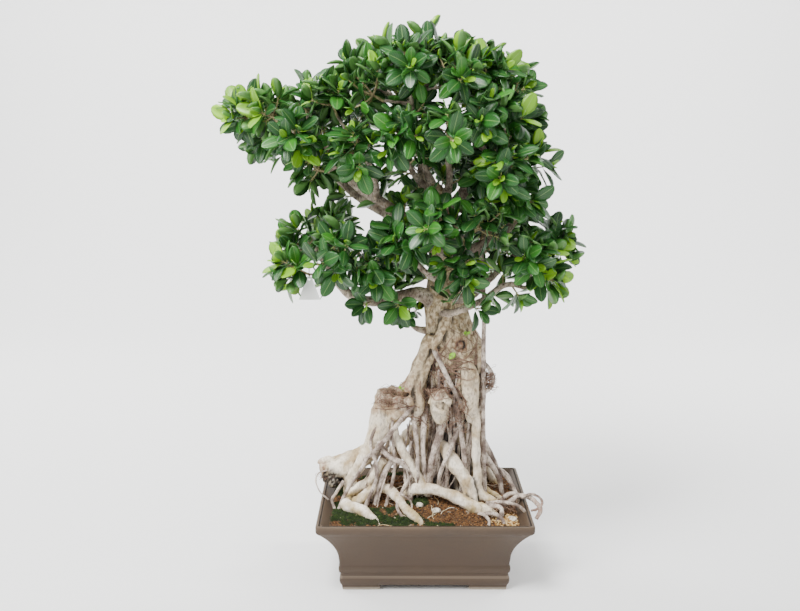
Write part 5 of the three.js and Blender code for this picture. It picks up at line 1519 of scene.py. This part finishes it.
def laid_leaf(leaf, luck):
    """The template's corners bent and turned into one leaf's place, in millimetres from the pot's middle."""
    length = leaf.length
    half_width = 0.5 * length * LEAF_WIDTH / LEAF_LENGTH * luck.uniform(0.92, 1.14)
    droop = luck.uniform(0.02, 0.2) * (1 - leaf.youth)
    fold = luck.uniform(0.04, 0.3)
    twist = luck.uniform(-0.3, 0.3)
    wave = luck.uniform(0, 6.28)
    along = leaf_template[:, 0]
    sideways = leaf_template[:, 1] * half_width
    lift = leaf_template[:, 2] * length - droop * length * along**2 + fold * np.abs(sideways)
    lift = lift + 0.9 * np.sin(7 * along + wave) * np.abs(leaf_template[:, 1])
    turn = twist * along
    turned_side = sideways * np.cos(turn) - lift * np.sin(turn)
    turned_lift = sideways * np.sin(turn) + lift * np.cos(turn)
    directions = np.array([leaf.out, leaf.upper.cross(leaf.out), leaf.upper])
    return np.array(leaf.base) + np.stack([along * length, turned_side, turned_lift], 1) @ directions


def bear_leaves(piece, leaves, luck):
    """Joins all its leaves to a piece, with a map across each blade, its youth and a shade of its own."""
    corners = np.concatenate([laid_leaf(leaf, luck) for leaf in leaves])
    count = len(leaf_template)
    faces = [[v + count * number for v in face] for number in range(len(leaves)) for face in leaf_faces]
    mesh = bpy.data.meshes.new("blades")
    mesh.from_pydata((corners * MM + np.array(spot(0, 0, 0))).tolist(), [], faces)
    mesh.uv_layers.new(name="blade").data.foreach_set("uv", np.tile(leaf_map.ravel(), len(leaves)))
    write_attribute(mesh, "youth", np.repeat([leaf.youth for leaf in leaves], count))
    write_attribute(mesh, "shade", np.repeat([luck.random() for _ in leaves], count))
    mesh.shade_smooth()
    mesh.materials.append(leaf_skin)
    blades = bpy.data.objects.new("blades", mesh)
    bpy.context.collection.objects.link(blades)
    only(blades, piece)
    bpy.ops.object.join()


# Leaf skin: dark glossy green with a pale midrib and faint side veins, duller and paler below, yellow-green
# while it is young. The waxy coat gives the sharp white glints.
leaf_skin = new_material("glossy fig leaf")
blade = add(leaf_skin, "ShaderNodeUVMap", {}, uv_map="blade").outputs["UV"]
blade = add(leaf_skin, "ShaderNodeSeparateXYZ", {"Vector": blade}).outputs
patchy = mottle(leaf_skin, 55.0)
rib_distance = worked(leaf_skin, "ABSOLUTE", worked(leaf_skin, "SUBTRACT", blade["X"], 0.5))
rib = ranged(leaf_skin, rib_distance, 0.034, 0.008, most=0.42)
slant = worked(leaf_skin, "MULTIPLY_ADD", rib_distance, -0.55, blade["Y"])
vein_line = worked(leaf_skin, "SINE", worked(leaf_skin, "MULTIPLY", slant, 62.0))
vein = ranged(leaf_skin, vein_line, 0.72, 1.0, most=0.16)
skin = ramp(leaf_skin, painted(leaf_skin, "shade"), [(0, "#0C2B12"), (0.6, "#1B5518"), (1, "#3F8A1C")])
skin = layered(
    leaf_skin, skin, (patchy, "#174A16"), (painted(leaf_skin, "youth"), "#93CC1C"), (rib, "#93B869"),
    (vein, "#6FA04A"), (worked(leaf_skin, "GREATER_THAN", blade["X"], 1.01), "#5C8A45"),
    (worked(leaf_skin, "GREATER_THAN", blade["X"], 2.01), "#A9B66A"),
)
raised = relief(leaf_skin, worked(leaf_skin, "ADD", rib, vein), 0.35, 0.5, invert=True)
gloss = ranged(leaf_skin, patchy, least=0.3, most=0.5)
finish(leaf_skin, skin, gloss, raised, {"Coat Weight": 0.08, "Coat Roughness": 0.18})

# Shoot bark: tan to green-brown, finely wrinkled, with paler rings.
SHOOT_TONES = [(0.35, "#77644A"), (0.65, "#B8AC7E")]
shoot_bark = ramped("young shoot bark", SHOOT_TONES, (240.0, 3.0), (0.5, 0.4), 0.7)


def twig_lines(spray, shoots):
    """The stem and shoots of a spray as limbs, thinning to a pointed bud at each tip."""
    hub = spray.hub
    lines = [[(*(spray.joint - 4 * spray.rising), STEM_RADIUS), (*hub, STEM_RADIUS - 0.4)]]
    for _, heading, _, up, _, reach in shoots:
        sag = up * (0.06 * reach)
        points = [(*hub, SHOOT_RADIUS)]
        for share, radius in ((0.33, 2.0), (0.66, 1.8), (1.0, 1.7)):
            bow = sag * math.sin(math.pi * share)
            points.append((*(hub + heading * (reach * share) - bow), radius))
        points.append((*(hub + heading * (reach + BUD_LENGTH)), 0.5))
        lines.append(points)
    return lines


rib_starts, rib_stops = [], []
for spray in sprays:
    shoots = shoots_of(spray)
    leaves = leaves_of(spray, shoots)
    rib_starts += [leaf.base + 0.35 * leaf.length * leaf.out for leaf in leaves]
    rib_stops += [leaf.base + leaf.length * leaf.out for leaf in leaves]
    piece = drawn_limbs("leafy_" + spray.name, twig_lines(spray, shoots), 1, 3)
    piece.data.materials.append(shoot_bark)
    bpy.ops.object.shade_smooth()
    bear_leaves(piece, leaves, random.Random(1000 + spray.number))
    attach(piece, "root")
    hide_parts("spray_" + spray.name)

# The inner sprigs
# Short shoots on the older wood inside the crown, each with up to eight leaves in the gaps that the sprays
# leave. They grow from the upper side of the branches, some way from the sprays' ends.
SPRIG_REACH = 26
SPRIG_APART = 44
SPRIG_FROM_SPRAY = 52
SPRIG_LEAVES = 8
LEAST_SPRIG = 3
SPRIG_ROOM = 12
SPRIG_RIB_ROOM = 6
RIBS_WITHIN = 130
THICKEST_WOOD = 14
sprig_hubs, sprig_lines, sprig_leaves = [], [], []
rib_starts, rib_stops = np.array(rib_starts), np.array(rib_stops)
for number, limb in enumerate(HIGH_BRANCHES + LOW_BRANCHES):
    for span, (start, stop) in enumerate(zip(limb, limb[1:])):
        for step, share in enumerate((0.15, 0.5, 0.85)):
            x, y, z, radius = (a + share * (b - a) for a, b in zip(start, stop))
            along = (Vector(stop[:3]) - Vector(start[:3])).normalized()
            side, other = across_of(along)
            turn = 2 * math.pi * draw(number, span, step, 41)
            heading = (side * math.cos(turn) + other * math.sin(turn) + 0.7 * UP + 0.3 * along).normalized()
            foot = Vector((x, y, z))
            hub = foot + heading * (radius + SPRIG_REACH)
            from_spray = min(math.dist(hub, one) for one in hubs)
            if radius > THICKEST_WOOD or from_spray < SPRIG_FROM_SPRAY or clearance(hub) < SPRIG_ROOM:
                continue
            if any((hub - one).length < SPRIG_APART for one in sprig_hubs):
                continue
            right, up = across_of(heading)
            near = np.linalg.norm(rib_starts - np.array(hub), axis=1) < RIBS_WITHIN
            starts, stops = list(rib_starts[near]), list(rib_stops[near])
            grown = []
            for leaf in range(SPRIG_LEAVES):
                out_turn = 2.4 * leaf + turn
                opening = math.radians(72 - 6 * leaf)
                out = heading * math.cos(opening)
                sideways = right * math.cos(out_turn) + up * math.sin(out_turn)
                out = (out + sideways * math.sin(opening)).normalized()
                length = LEAF_LENGTH * (0.7 + 0.3 * draw(number, span, step, leaf, 42))
                base = hub - heading * (10 - 1.2 * leaf)
                low, middle, tip = places_along(base, out, length)
                if clearance(middle) < MIDDLE_ROOM * length or clearance(tip) < TIP_ROOM:
                    continue
                if rib_gap(low, tip, starts, stops) < SPRIG_RIB_ROOM:
                    continue
                youth = 0.5 if leaf == SPRIG_LEAVES - 1 else 0.0
                grown.append(Leaf(base, out, squared(heading + 0.3 * UP, out), length, youth))
                starts.append(low)
                stops.append(tip)
            if len(grown) >= LEAST_SPRIG:
                sprig_hubs.append(hub)
                sprig_leaves += grown
                middle_way = foot + heading * (radius + 0.5 * SPRIG_REACH) + 2 * side
                bud = hub + 6 * heading
                sprig_lines.append([(*foot, 2.6), (*middle_way, 1.9), (*hub, 1.5), (*bud, 0.5)])
sprigs = drawn_limbs("inner_sprigs", sprig_lines, 1, 3)
sprigs.data.materials.append(shoot_bark)
bpy.ops.object.shade_smooth()
bear_leaves(sprigs, sprig_leaves, random.Random(55))
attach(sprigs, "root")

# The small sprouts on the trunk
# Short green shoots that broke out of the old wood: one behind the left stump, one on the front of the trunk
# and one above the healed wound, each with one to four soft young leaves: [place, heading, leaves, size].
SPROUTS = [((-52, -30, 458), (-0.3, -0.5, 0.8), 3, 10), ((56, -42, 534), (0.3, -0.8, 0.4), 1, 20),
           ((97, -34, 592), (0.2, -0.7, 0.7), 4, 12)]
sprout_leaves, sprout_lines = [], []
for number, (place, way, count, size) in enumerate(SPROUTS):
    base, heading = Vector(place), Vector(way).normalized()
    side, other = across_of(heading)
    sprout_lines.append([(*(base - 14 * heading), 1.6), (*base, 1.3), (*(base + 6 * heading), 0.6)])
    for leaf in range(count):
        turn = 2.4 * leaf + number
        out = (heading * 0.75 + (side * math.cos(turn) + other * math.sin(turn)) * 0.7).normalized()
        length = size * (0.8 + 0.5 * draw(number, leaf, 31))
        sprout_leaves.append(Leaf(base, out, squared(heading, out), length, 0.75))
sprouts = drawn_limbs("trunk_sprouts", sprout_lines, 1, 3)
sprouts.data.materials.append(shoot_bark)
bear_leaves(sprouts, sprout_leaves, random.Random(77))
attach(sprouts, "root")

# The card and its tie
# A blank white card of stiff paper hangs from a twig at the left by a loop of thin dark wire. It is die-cut,
# wider at its foot, with softened corners, and curls a little towards the front.
card = cad_copy("blank_card", "hanging_card")
bpy.ops.mesh.dissolve_limited(angle_limit=math.radians(2))
leave_edit()
apply_modifier(card, "BEVEL", width=0.2 * MM, segments=2, limit_method="ANGLE", angle_limit=math.radians(40))
bpy.ops.object.shade_smooth_by_angle(angle=math.radians(35))

# Card stock: plain white, matt, with a faint fibre grain.
card_stock = new_material("white card stock")
fibre = mottle(card_stock, 800.0, 4.0)
white = layered(card_stock, "#EDEDEA", (fibre, "#FAFAF8"))
finish(card_stock, white, 0.6, relief(card_stock, fibre, 0.15, 0.1))
card.data.materials.append(card_stock)
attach(card, "root")
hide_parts("blank_card")

tie = cad_copy("card_tie", "wire_tie")
bpy.ops.mesh.tris_convert_to_quads()
leave_edit()
apply_modifier(tie, "SUBSURF", levels=2, render_levels=2)
bpy.ops.object.shade_smooth()

# Tie wire: thin iron with a dark brown skin of oxide and a few bright rubs.
tie_iron = new_material("dark iron wire")
rubs = mottle(tie_iron, 500.0)
oxide = ramp(tie_iron, rubs, [(0, "#2E2823"), (1, "#7A6E62")])
finish(tie_iron, oxide, ranged(tie_iron, rubs, least=0.35, most=0.6), None, {"Metallic": 0.8})
tie.data.materials.append(tie_iron)
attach(tie, "root")
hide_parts("card_tie")
